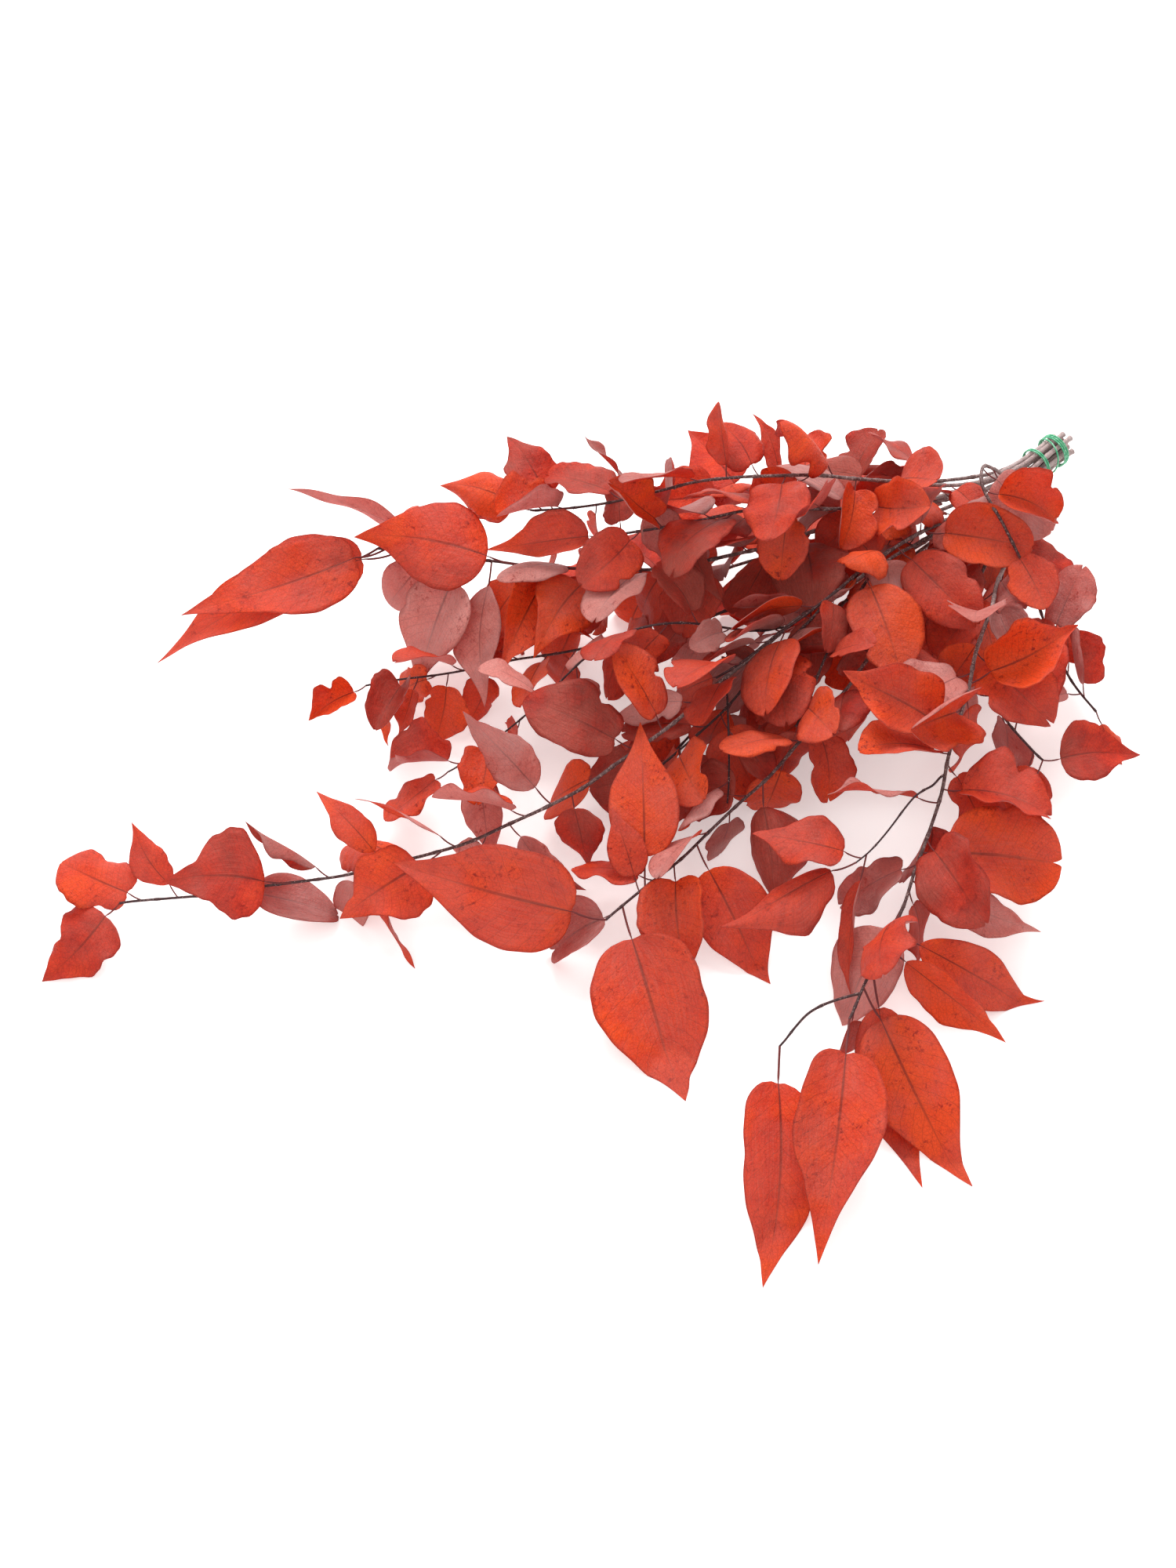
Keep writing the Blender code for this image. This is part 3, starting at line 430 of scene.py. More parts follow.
def all_routes() -> dict[str, Route]:
    """Every branch's and twig's route by name, clear of each other and laid on the CAD tubes."""
    routes, radii, held, places = [], [], [], {}
    for number, branch in enumerate(BRANCHES):
        if branch.parent:
            on = places[branch.parent]
            parent = Route(routes[on], radii[on], held[on])
            heading = math.radians(branch.headings[0])
            out = radii[on][held[on]] + branch.thickness[0] / 2000.0 + NODE_GAP
            start = parent.point(branch.parent_at) + (math.cos(heading) * out, math.sin(heading) * out, 0.0)
            route = branch.free_route(start, number)
            held.append(0)
        else:
            route = branch.tied_route(number)
            held.append(len(route) - branch.free_steps() - 1)
        places[branch.name] = len(routes)
        routes.append(route)
        radii.append(branch.radii(len(route)))
    clear = push_apart(routes, radii, held)
    found = {}
    for i, branch in enumerate(BRANCHES):
        keep, every = branch.drawn(len(clear[i])), np.arange(len(clear[i]))
        chords = np.column_stack([np.interp(every, keep, clear[i][keep, k]) for k in range(3)])
        found[branch.name] = Route(chords, radii[i], held[i])
    return found


@dataclass(frozen=True)
class Habit:
    """How far the blades of one age depart from a plain shape: ranges that a leaf draws from."""

    ripple: tuple        # unevenness of the rim, as a share of the width
    sway: tuple          # bend to one side, as a share of the length
    wave: tuple          # height of the rim's ruffles, as a share of the length
    hook: tuple          # how far the tip turns down, or up where it is negative
    dented: float        # share of a full dent in the rim


YOUNG = Habit(ripple=(0.06, 0.17), sway=(-0.09, 0.09), wave=(0.03, 0.09), hook=(-0.5, 0.9), dented=1.0)
GROWN = Habit(ripple=(0.03, 0.07), sway=(-0.05, 0.05), wave=(0.012, 0.028), hook=(-0.1, 0.3), dented=0.4)


@dataclass
class Blade:
    """One placed leaf: where it roots, how it points, and how its blade bends."""

    root: np.ndarray
    node: np.ndarray     # the point of the stem's axis that the stalk grows from
    heading: float
    rise: float
    roll: float
    length: float
    width: float
    form: Form
    arch: float
    twist: float
    fold: float
    petiole: float
    key: str             # names the leaf's own random draws
    phases: tuple = field(init=False)
    ripple: float = field(init=False)
    dent: tuple = field(init=False)
    lobe: float = field(init=False)
    blunt: float = field(init=False)
    sway: float = field(init=False)
    wave: float = field(init=False)
    waves: float = field(init=False)
    cambers: tuple = field(init=False)
    hook: float = field(init=False)
    tone: float = field(init=False)
    flipped: bool = field(init=False)

    @property
    def large(self) -> bool:
        """True for a grown-up leaf, which is flatter and smoother than the young ones."""
        return self.length >= LARGE_FROM

    def __post_init__(self) -> None:
        """Draws what makes this leaf unlike the others."""
        draw = random.Random(self.key)
        habit = GROWN if self.large else YOUNG
        round_form = self.form is Form.ROUND
        ribbon = self.form is Form.LANCE and not self.large
        curled = not self.large and draw.random() < CURLED
        self.phases = (draw.uniform(0, 6.28), draw.uniform(0, 6.28))
        self.ripple = draw.uniform(*habit.ripple)
        self.lobe = draw.uniform(*(ROUND_LOBES if round_form else OTHER_LOBES))
        self.blunt = draw.uniform(0.0, BLUNTEST) if round_form else 0.0
        self.dent = (draw.uniform(*DENT_PLACES), draw.choice(DENTS) * habit.dented, draw.choice((-1, 1)))
        self.sway = draw.uniform(*habit.sway)
        self.wave = draw.uniform(*habit.wave)
        self.waves = draw.uniform(*(RIBBON_WAVES if ribbon else WAVES))
        curl = draw.choice(CURLS) if curled else PLAIN_CURL
        self.cambers = (curl + draw.uniform(*UNLIKE_HALVES), curl + draw.uniform(*UNLIKE_HALVES))
        self.hook = draw.uniform(*habit.hook)
        self.tone = draw.uniform(*GROWN_TONES) if self.large else draw.betavariate(*YOUNG_TONES)
        self.flipped = not self.large and draw.random() < (RIBBONS_FLIPPED if ribbon else FLIPPED)

    def curl_back(self) -> None:
        """Turns the blade's curls to the other side, a little weaker, and makes it a little narrower."""
        self.width *= SETTLE_WIDTH
        self.ripple *= SETTLE_SHARE
        self.lobe *= SETTLE_SHARE
        self.cambers = tuple(-SETTLE_SHARE * camber for camber in self.cambers)
        self.wave, self.hook, self.sway = (-SETTLE_SHARE * x for x in (self.wave, self.hook, self.sway))

    def tree(self) -> tuple[np.ndarray, np.ndarray, BVHTree]:
        """The low and high corner of the middle surface's box, and its faces as a search tree."""
        along, across = SKIN_GRID
        u, v = np.meshgrid(np.linspace(0.0, 1.0, along), np.linspace(-1.0, 1.0, across), indexing="ij")
        points = self.surface(u, v).reshape(-1, 3)
        faces = quads(np.arange(along * across).reshape(along, across))
        return points.min(axis=0), points.max(axis=0), BVHTree.FromPolygons(points.tolist(), faces.tolist())

    def axes(self) -> tuple[np.ndarray, np.ndarray, np.ndarray]:
        """Unit vectors along the midrib, across the blade and out of its face."""
        ahead = compass(self.heading, self.rise)
        level = np.array((-math.sin(self.heading), math.cos(self.heading), 0.0))
        up = np.cross(ahead, level)
        across, over = math.cos(self.roll), math.sin(self.roll)
        return ahead, level * across + up * over, up * across - level * over

    def tip(self) -> np.ndarray:
        """Where the CAD leaf's tip is."""
        ahead, _, up = self.axes()
        along = self.length * math.sin(self.arch) / self.arch
        down = self.length * (1.0 - math.cos(self.arch)) / self.arch
        spot = self.root + ahead * (self.petiole + along) - up * down
        spot[2] = max(spot[2], TABLE_GAP)
        return spot

    def half_width(self, u: np.ndarray) -> np.ndarray:
        """Half of the blade's width at shares u of its length, drawn out to a point on pointed forms."""
        a, b = self.form.value
        top = (a / (a + b)) ** a * (b / (a + b)) ** b
        half = 0.5 * self.width * np.maximum(u, 0.0) ** a * np.maximum(1.0 - u, 0.0) ** b / top
        drawn_out = 0.0 if self.form is Form.ROUND else 0.42
        return half * (1.0 - drawn_out * smooth((u - 0.45) / 0.42))

    def surface(self, u: np.ndarray, v: np.ndarray) -> np.ndarray:
        """Points of the blade's middle surface.

        Args:
            u: shares of the way from the stalk to the tip.
            v: places across the blade, from -1 to 1.

        Returns:
            The points, with one more axis than u and v.
        """
        ahead, side, up = self.axes()
        edge = np.abs(v)
        phase = np.where(v < 0, self.phases[0], self.phases[1])
        uneven = (np.sin(6.5 * u + phase) + 0.45 * np.sin(15.0 * u + 2.0 * phase)
                  + 0.18 * np.sin(41.0 * u + phase))
        dented = self.dent[1] * np.exp(-((u - self.dent[0]) / 0.055) ** 2) * (self.dent[2] * v > 0)
        half = self.half_width(u) * (1.0 + self.ripple * edge * uneven) * (1.0 - dented * edge ** 3)
        at = (u - 3.0 * self.lobe * edge ** 1.6 * np.sqrt(u) * (1.0 - u) ** 4
              - self.blunt * (1.0 - edge) ** 2 * u ** 12)
        bent = self.arch * at
        along = self.length * np.sin(bent) / self.arch
        down = self.length * ((1.0 - np.cos(bent)) / self.arch + self.hook * np.maximum(at - 0.62, 0.0) ** 2)
        ruffle = self.wave * edge ** 2 * np.sin(2 * math.pi * self.waves * u + phase) * np.sin(math.pi * u)
        out = v * half * math.cos(self.fold)
        camber = np.where(v < 0, *self.cambers)
        lift = edge * half * math.sin(self.fold) - half * camber * edge ** 2 + self.length * ruffle
        out = out * (1.0 - 0.22 * np.abs(camber) * edge ** 2)
        out = out + self.sway * self.length * np.sin(math.pi * u) * (1.0 - 0.4 * u)
        turned = self.twist * u
        face = up * np.cos(bent)[..., None] + ahead * np.sin(bent)[..., None]
        spot = self.root + ahead * (self.petiole + along)[..., None] - up * down[..., None]
        spot = spot + side * (out * np.cos(turned) - lift * np.sin(turned))[..., None]
        spot = spot + face * (out * np.sin(turned) + lift * np.cos(turned))[..., None]
        spot[..., 2] = np.maximum(spot[..., 2], TABLE_CLEAR + 0.5 * LEAF_THICK)
        return spot

    def stalk(self) -> tuple[np.ndarray, np.ndarray]:
        """The line of the stalk and midrib, and its radii: bowed a little, and fine at the blade's tip."""
        base = self.surface(np.array([0.0]), np.array([0.0]))[0]
        span = np.linspace(0.0, 1.0, 6)[:-1, None]
        stalk = self.node + (base - self.node) * span
        stalk[:, 2] -= 0.10 * self.petiole * np.sin(math.pi * span[:, 0])
        along = np.linspace(0.0, 0.94, 12)
        rib = self.surface(along, np.zeros_like(along))
        thick = PETIOLE_RADIUS * (0.45 + 4.4 * self.length)
        radii = np.concatenate((np.full(5, thick), thick * (0.52 - 0.49 * along ** 0.45)))
        return np.vstack((stalk, rib)), radii


def settle(blades: list[Blade]) -> None:
    """Lets leaves that would pass through each other curl another way, until they are clear.

    Args:
        blades: every leaf of the bunch; their curls change.
    """
    trees = [blade.tree() for blade in blades]
    for _ in range(SETTLE_ROUNDS):
        low, high = (np.array([tree[k] for tree in trees]) for k in (0, 1))
        near = (low[:, None] < high[None, :]).all(axis=2)
        pairs = np.argwhere(np.triu(near & near.T, 1))
        crossing = {int(i) for a, b in pairs if trees[a][2].overlap(trees[b][2]) for i in (a, b)}
        LOG.info("%d leaves pass through another", len(crossing))
        for i in crossing:
            blades[i].curl_back()
            trees[i] = blades[i].tree()


@dataclass
class BladeMesh:
    """The fine leaves of one piece, gathered into one mesh: a thin closed shell for each leaf."""

    name: str
    points: list = field(default_factory=list)
    faces: list = field(default_factory=list)
    materials: list = field(default_factory=list)
    uvs: list = field(default_factory=list)
    tones: list = field(default_factory=list)
    total: int = 0

    def add(self, blade: Blade) -> None:
        """Adds one leaf: an upper and a lower skin that share their rim."""
        along, across = LARGE_GRID if blade.large else SKIN_GRID
        share = np.linspace(0.0, 1.0, along)
        u, v = np.meshgrid(0.004 + 0.992 * share, np.linspace(-1.0, 1.0, across), indexing="ij")
        middle = blade.surface(u, v)
        normal = np.cross(np.gradient(middle, axis=0), np.gradient(middle, axis=1))
        normal /= np.linalg.norm(normal, axis=2, keepdims=True) + 1e-12
        shift = normal * (0.5 * LEAF_THICK * (1.0 - RIM_THINNING * np.abs(v) ** 6))[..., None]
        skin = along * across
        top = np.arange(skin).reshape(along, across) + self.total
        ring = np.concatenate((top[:, 0], top[-1, 1:], top[-2::-1, -1], top[0, -2:0:-1]))
        after = np.roll(ring, -1)
        upper, under = quads(top), quads(top + skin)[:, ::-1]
        self.points += [(middle + shift).reshape(-1, 3), (middle - shift).reshape(-1, 3)]
        self.faces += [upper, under, np.stack((after, ring, ring + skin, after + skin), axis=-1)]
        face, back = (1, 0) if blade.flipped else (0, 1)
        self.materials += [np.full(len(upper), face), np.full(len(under), back), np.full(len(ring), face)]
        flat = np.column_stack((u.ravel(), 0.5 + 0.5 * v.ravel()))
        self.uvs += [flat, flat]
        self.tones += [blade.tone] * 2 * skin
        self.total += 2 * skin

    def build(self, finishes: list) -> bpy.types.Object:
        """The piece as an object.

        Args:
            finishes: the materials of the leaves' upper sides and of their undersides.

        Returns:
            The new object.
        """
        points, faces = np.vstack(self.points), np.vstack(self.faces)
        mesh = bpy.data.meshes.new(self.name)
        mesh.from_pydata(points.tolist(), [], faces.tolist())
        for finish in finishes:
            mesh.materials.append(finish)
        mesh.polygons.foreach_set("material_index", np.concatenate(self.materials).astype(np.int32))
        uv = mesh.uv_layers.new(name="UVMap")
        corners = np.vstack(self.uvs)[faces.ravel()]
        uv.data.foreach_set("uv", corners.astype(np.float32).ravel())
        mark(mesh, "tone", self.tones)
        mesh.shade_smooth()
        mesh.update()
        return shown(self.name, mesh)


def shown(name: str, mesh: bpy.types.Mesh) -> bpy.types.Object:
    """An object for a finished mesh, in the scene."""
    obj = bpy.data.objects.new(name, mesh)
    bpy.context.scene.collection.objects.link(obj)
    return obj


def linear(hex_colour: str) -> tuple[float, float, float, float]:
    """Linear RGBA of an sRGB hex colour such as "#D9442F"."""
    parts = [int(hex_colour[i:i + 2], 16) / 255.0 for i in (1, 3, 5)]
    turned = [c / 12.92 if c <= 0.04045 else ((c + 0.055) / 1.055) ** 2.4 for c in parts]
    return (*turned, 1.0)


def add(tree: bpy.types.NodeTree, kind: str, inputs: dict | None = None, **settings) -> bpy.types.Node:
    """Adds a node to a tree.

    Args:
        tree: the tree.
        kind: the node's type.
        inputs: socket name or index to a value, or to an output socket to link from.
        **settings: the node's own properties.

    Returns:
        The node.
    """
    node = tree.nodes.new(kind)
    for key, value in settings.items():
        setattr(node, key, value)
    for key, value in (inputs or {}).items():
        if isinstance(value, bpy.types.NodeSocket):
            tree.links.new(value, node.inputs[key])
        else:
            node.inputs[key].default_value = value
    return node


def new_material(name: str) -> tuple[bpy.types.Material, bpy.types.NodeTree, bpy.types.Node]:
    """A material with an empty tree and its output node."""
    made = bpy.data.materials.new(name)
    made.use_nodes = True
    made.node_tree.nodes.clear()
    return made, made.node_tree, add(made.node_tree, "ShaderNodeOutputMaterial")


def set_ramp(node: bpy.types.Node, stops: tuple) -> None:
    """Gives a colour ramp its (place, hex colour) stops."""
    ramp = node.color_ramp
    while len(ramp.elements) < len(stops):
        ramp.elements.new(0.5)
    for element, (place, colour) in zip(ramp.elements, stops):
        element.position = place
        element.color = linear(colour)


@dataclass(frozen=True)
class LeafFinish:
    """One side of a dyed leaf, kept supple with glycerine: matt, a little waxy, with a net of veins."""

    name: str
    shades: tuple        # (place, colour) stops, from the dullest leaves to the brightest
    vein: str
    spot: str
    glow: str            # colour of the light that comes through
    painted_sheen_strength: float       # how far the painted sheen, in fine stripes along the blade, lightens it
    # colour of the painted sheen
    painted_sheen_colour: str
    roughness: float
    through: float       # share of light that passes through the blade

    def build(self) -> bpy.types.Material:
        """The material, with its veins from the leaf's own coordinates and its mottling in millimetres."""
        made, tree, output = new_material(self.name)
        place = add(tree, "ShaderNodeTexCoord").outputs["Object"]
        uv = add(tree, "ShaderNodeSeparateXYZ", {0: add(tree, "ShaderNodeUVMap", uv_map="UVMap").outputs[0]})
        along = uv.outputs[0]
        across = add(tree, "ShaderNodeMath", {0: uv.outputs[1], 1: 2.0, 2: -1.0}, operation="MULTIPLY_ADD")
        edge = add(tree, "ShaderNodeMath", {0: across.outputs[0]}, operation="ABSOLUTE").outputs[0]
        tone = add(tree, "ShaderNodeAttribute", attribute_name="tone").outputs["Fac"]
        # Dye takes unevenly, in clouds about 12 mm across.
        clouds = add(tree, "ShaderNodeTexNoise", {"Vector": place, "Scale": 85.0, "Detail": 6.0,
                                                  "Roughness": 0.68}).outputs["Fac"]
        broad = add(tree, "ShaderNodeTexNoise",
                    {"Vector": place, "Scale": 24.0, "Detail": 2.0}).outputs["Fac"]
        shade = add(tree, "ShaderNodeMath", {0: clouds, 1: 1.05, 2: tone}, operation="MULTIPLY_ADD")
        shade = add(tree, "ShaderNodeMath",
                    {0: broad, 1: 1.25, 2: shade.outputs[0]}, operation="MULTIPLY_ADD")
        shade = add(tree, "ShaderNodeMath", {0: shade.outputs[0], 1: 1.12}, operation="SUBTRACT")
        body = add(tree, "ShaderNodeValToRGB", {0: shade.outputs[0]})
        set_ramp(body, self.shades)
        wander = add(tree, "ShaderNodeTexNoise", {"Vector": place, "Scale": 160.0}).outputs["Fac"]
        wander = add(tree, "ShaderNodeMath", {0: wander, 1: 0.40}, operation="MULTIPLY").outputs[0]
        fan = add(tree, "ShaderNodeMath", {0: edge, 1: -2.6, 2: wander}, operation="MULTIPLY_ADD")
        laterals = add(tree, "ShaderNodeMath",
                       {0: along, 1: 13.0, 2: fan.outputs[0]}, operation="MULTIPLY_ADD")
        line = add(tree, "ShaderNodeMath", {0: laterals.outputs[0], 1: 0.5}, operation="PINGPONG")
        side_vein = add(tree, "ShaderNodeMapRange", {0: line.outputs[0], 1: 0.0, 2: 0.045, 3: 0.40, 4: 0.0},
                        interpolation_type="SMOOTHSTEP").outputs[0]
        midrib = add(tree, "ShaderNodeMapRange", {0: edge, 1: 0.01, 2: 0.05, 3: 1.0, 4: 0.0},
                     interpolation_type="SMOOTHSTEP").outputs[0]
        fading = add(tree, "ShaderNodeMapRange", {0: along, 1: 0.05, 2: 0.75, 3: 0.85, 4: 0.25}).outputs[0]
        midrib = add(tree, "ShaderNodeMath", {0: midrib, 1: fading}, operation="MULTIPLY").outputs[0]
        # The finest veins enclose cells of about 2 mm.
        cells = add(tree, "ShaderNodeTexVoronoi",
                    {"Vector": place, "Scale": 480.0}, feature="DISTANCE_TO_EDGE")
        net = add(tree, "ShaderNodeMapRange",
                  {0: cells.outputs["Distance"], 1: 0.0, 2: 0.10, 3: 0.26, 4: 0.0})
        veins = add(tree, "ShaderNodeMath", {0: midrib, 1: side_vein}, operation="MAXIMUM")
        veins = add(tree, "ShaderNodeMath", {0: veins.outputs[0], 1: net.outputs[0]}, operation="MAXIMUM")
        veined = add(tree, "ShaderNodeMix", {0: veins.outputs[0], 6: body.outputs[0], 7: linear(self.vein)},
                     data_type="RGBA", blend_type="MIX")
        # Freckles of 1 to 3 mm, in patches.
        dots = add(tree, "ShaderNodeTexNoise", {"Vector": place, "Scale": 300.0, "Detail": 5.0,
                                                "Roughness": 0.72}).outputs["Fac"]
        dots = add(tree, "ShaderNodeMapRange", {0: dots, 1: 0.55, 2: 0.63, 3: 0.0, 4: 0.85}).outputs[0]
        patch = add(tree, "ShaderNodeTexNoise",
                    {"Vector": place, "Scale": 45.0, "Detail": 3.0}).outputs["Fac"]
        patch = add(tree, "ShaderNodeMapRange", {0: patch, 1: 0.45, 2: 0.60}).outputs[0]
        freckles = add(tree, "ShaderNodeMath", {0: dots, 1: patch}, operation="MULTIPLY").outputs[0]
        freckled = add(tree, "ShaderNodeMix", {0: freckles, 6: veined.outputs[2], 7: linear(self.spot)},
                       data_type="RGBA")
        # Painted sheen: paler fine stripes along the blade, in broad patches, lighten its colour.
        painted_sheen_stretch = add(tree, "ShaderNodeMapping", {0: add(tree, "ShaderNodeUVMap", uv_map="UVMap").outputs[0],
                                                3: (5.0, 70.0, 1.0)})
        painted_sheen_streaks = add(tree, "ShaderNodeTexNoise", {"Vector": painted_sheen_stretch.outputs[0], "Scale": 1.0, "Detail": 3.0})
        painted_sheen_streaks = add(tree, "ShaderNodeMapRange", {0: painted_sheen_streaks.outputs["Fac"], 1: 0.40, 2: 0.70, 3: 0.35,
                                                4: 1.0}).outputs[0]
        sheen = add(tree, "ShaderNodeMapRange", {0: broad, 1: 0.42, 2: 0.62, 3: self.painted_sheen_strength, 4: 0.0},
                    interpolation_type="SMOOTHSTEP").outputs[0]
        painted_sheen_streaks = add(tree, "ShaderNodeMath", {0: painted_sheen_streaks, 1: sheen}, operation="MULTIPLY").outputs[0]
        with_painted_sheen = add(tree, "ShaderNodeMix", {0: painted_sheen_streaks, 6: freckled.outputs[2], 7: linear(self.painted_sheen_colour)},
                    data_type="RGBA")
        rim = add(tree, "ShaderNodeMapRange", {0: edge, 1: 0.93, 2: 1.0, 3: 0.0, 4: 0.45}).outputs[0]
        colour = add(tree, "ShaderNodeMix", {0: rim, 6: with_painted_sheen.outputs[2], 7: linear(self.vein)},
                     data_type="RGBA").outputs[2]
        grain = add(tree, "ShaderNodeTexNoise",
                    {"Vector": place, "Scale": 900.0, "Detail": 2.0}).outputs["Fac"]
        relief = add(tree, "ShaderNodeMath",
                     {0: grain, 1: 0.35, 2: veins.outputs[0]}, operation="MULTIPLY_ADD")
        pucker = add(tree, "ShaderNodeBump", {"Height": clouds, "Strength": 0.7, "Distance": 0.004})
        bump = add(tree, "ShaderNodeBump", {"Height": relief.outputs[0], "Strength": 0.6, "Distance": 0.0004,
                                            "Normal": pucker.outputs[0]}, invert=True)
        rough = add(tree, "ShaderNodeMapRange", {0: clouds, 3: self.roughness - 0.12,
                                                 4: self.roughness + 0.12}).outputs[0]
        shader = add(tree, "ShaderNodeBsdfPrincipled", {"Base Color": colour, "Roughness": rough,
                                                        "Normal": bump.outputs[0], "IOR": 1.45,
                                                        "Specular IOR Level": 0.28})
        lit = add(tree, "ShaderNodeMix", {0: veins.outputs[0], 6: linear(self.glow), 7: linear(self.vein)},
                  data_type="RGBA")
        behind = add(tree, "ShaderNodeBsdfTranslucent", {"Color": lit.outputs[2], "Normal": bump.outputs[0]})
        mixed = add(tree, "ShaderNodeMixShader",
                    {0: self.through, 1: shader.outputs[0], 2: behind.outputs[0]})
        tree.links.new(mixed.outputs[0], output.inputs["Surface"])
        return made


@dataclass(frozen=True)
class BarkFinish:
    """Young eucalyptus bark: dark red-brown and smooth on thin twigs, grey-brown and flaking on stems."""

    name: str = "eucalyptus_bark"
    shades: tuple = ((0.0, "#30151A"), (0.38, "#4A2C2B"), (0.68, "#86706D"), (1.0, "#AE9B99"))
    stalk: str = "#6A2827"
    fine_rib: str = "#A5372B"
    fleck: str = "#C9A9A4"
    pore: str = "#B79A92"
    thin: float = 0.0006
    thick: float = 0.0017

    def build(self) -> bpy.types.Material:
        """The material, which reads the stem's radius from its "thick" attribute."""
        made, tree, output = new_material(self.name)
        place = add(tree, "ShaderNodeTexCoord").outputs["Object"]
        radius = add(tree, "ShaderNodeAttribute", attribute_name="thick").outputs["Fac"]
        pale = add(tree, "ShaderNodeAttribute", attribute_name="pale").outputs["Fac"]
        age = add(tree, "ShaderNodeMapRange", {0: radius, 1: self.thin, 2: self.thick}).outputs[0]
        patches = add(tree, "ShaderNodeTexNoise", {"Vector": place, "Scale": 260.0, "Detail": 5.0,
                                                   "Roughness": 0.65}).outputs["Fac"]
        worn = add(tree, "ShaderNodeMath", {0: patches, 1: 0.9, 2: age}, operation="MULTIPLY_ADD")
        worn = add(tree, "ShaderNodeMath", {0: worn.outputs[0], 1: 0.45}, operation="SUBTRACT")
        body = add(tree, "ShaderNodeValToRGB", {0: worn.outputs[0]})
        set_ramp(body, self.shades)
        # Flakes of thin outer bark, 1 to 2 mm long.
        flakes = add(tree, "ShaderNodeTexNoise",
                     {"Vector": place, "Scale": 700.0, "Detail": 3.0}).outputs["Fac"]
        flakes = add(tree, "ShaderNodeMapRange", {0: flakes, 1: 0.56, 2: 0.66}).outputs[0]
        flaky = add(tree, "ShaderNodeMath", {0: flakes, 1: age}, operation="MULTIPLY").outputs[0]
        flaked = add(tree, "ShaderNodeMix", {0: flaky, 6: body.outputs[0], 7: linear(self.fleck)},
                     data_type="RGBA")
        woody = add(tree, "ShaderNodeAttribute", attribute_name="woody").outputs["Fac"]
        stout = add(tree, "ShaderNodeMapRange", {0: radius, 1: 0.00008, 2: 0.00034}).outputs[0]
        green = add(tree, "ShaderNodeMix", {0: stout, 6: linear(self.fine_rib), 7: linear(self.stalk)},
                    data_type="RGBA").outputs[2]
        flaked = add(tree, "ShaderNodeMix", {0: woody, 6: green, 7: flaked.outputs[2]}, data_type="RGBA")
        colour = add(tree, "ShaderNodeMix", {0: pale, 6: flaked.outputs[2], 7: linear(self.pore)},
                     data_type="RGBA").outputs[2]
        bump = add(tree, "ShaderNodeBump", {"Height": patches, "Strength": 0.7, "Distance": 0.0005})
        rough = add(tree, "ShaderNodeMapRange", {0: patches, 3: 0.55, 4: 0.85}).outputs[0]
        shader = add(tree, "ShaderNodeBsdfPrincipled", {"Base Color": colour, "Roughness": rough,
                                                        "Normal": bump.outputs[0], "IOR": 1.45})
        tree.links.new(shader.outputs[0], output.inputs["Surface"])
        return made


@dataclass(frozen=True)
class WireFinish:
    """Florist's wire with a green enamel coat: a soft gloss, rubbed duller where it was bent."""

    name: str = "green_enamelled_wire"
    coat: str = "#3DA878"
    rubbed: str = "#8AD0AC"

    def build(self) -> bpy.types.Material:
        """The material, with rubbed patches of a few millimetres."""
        made, tree, output = new_material(self.name)
        place = add(tree, "ShaderNodeTexCoord").outputs["Object"]
        wear = add(tree, "ShaderNodeTexNoise",
                   {"Vector": place, "Scale": 420.0, "Detail": 4.0}).outputs["Fac"]
        worn = add(tree, "ShaderNodeMapRange", {0: wear, 1: 0.48, 2: 0.68}).outputs[0]
        colour = add(tree, "ShaderNodeMix", {0: worn, 6: linear(self.coat), 7: linear(self.rubbed)},
                     data_type="RGBA").outputs[2]
        rough = add(tree, "ShaderNodeMapRange", {0: wear, 3: 0.28, 4: 0.50}).outputs[0]
        bump = add(tree, "ShaderNodeBump", {"Height": wear, "Strength": 0.25, "Distance": 0.0002})
        shader = add(tree, "ShaderNodeBsdfPrincipled", {"Base Color": colour, "Roughness": rough,
                                                        "Normal": bump.outputs[0], "IOR": 1.50})
        tree.links.new(shader.outputs[0], output.inputs["Surface"])
        return made


@dataclass(frozen=True)
class CutWoodFinish:
    """A stem's sawn end: pale sapwood with a darker pith and a thin dark ring of bark."""

    name: str = "cut_eucalyptus_wood"
    shades: tuple = ((0.0, "#7A5238"), (0.18, "#B98F66"), (0.60, "#D8B78C"),
                     (0.86, "#C29A6C"), (1.0, "#5A3B33"))

    def build(self) -> bpy.types.Material:
        """The material, which reads the distance from the pith from its "ring" attribute."""
        made, tree, output = new_material(self.name)
        place = add(tree, "ShaderNodeTexCoord").outputs["Object"]
        ring = add(tree, "ShaderNodeAttribute", attribute_name="ring").outputs["Fac"]
        fibres = add(tree, "ShaderNodeTexNoise",
                     {"Vector": place, "Scale": 2200.0, "Detail": 2.0}).outputs["Fac"]
        spread = add(tree, "ShaderNodeMath", {0: fibres, 1: 0.24, 2: ring}, operation="MULTIPLY_ADD")
        spread = add(tree, "ShaderNodeMath", {0: spread.outputs[0], 1: 0.12}, operation="SUBTRACT")
        body = add(tree, "ShaderNodeValToRGB", {0: spread.outputs[0]})
        set_ramp(body, self.shades)
        bump = add(tree, "ShaderNodeBump", {"Height": fibres, "Strength": 0.5, "Distance": 0.0002})
        rough = add(tree, "ShaderNodeMapRange", {0: fibres, 3: 0.70, 4: 0.95}).outputs[0]
        shader = add(tree, "ShaderNodeBsdfPrincipled", {"Base Color": body.outputs[0], "Roughness": rough,
                                                        "Normal": bump.outputs[0]})
        tree.links.new(shader.outputs[0], output.inputs["Surface"])
        return made


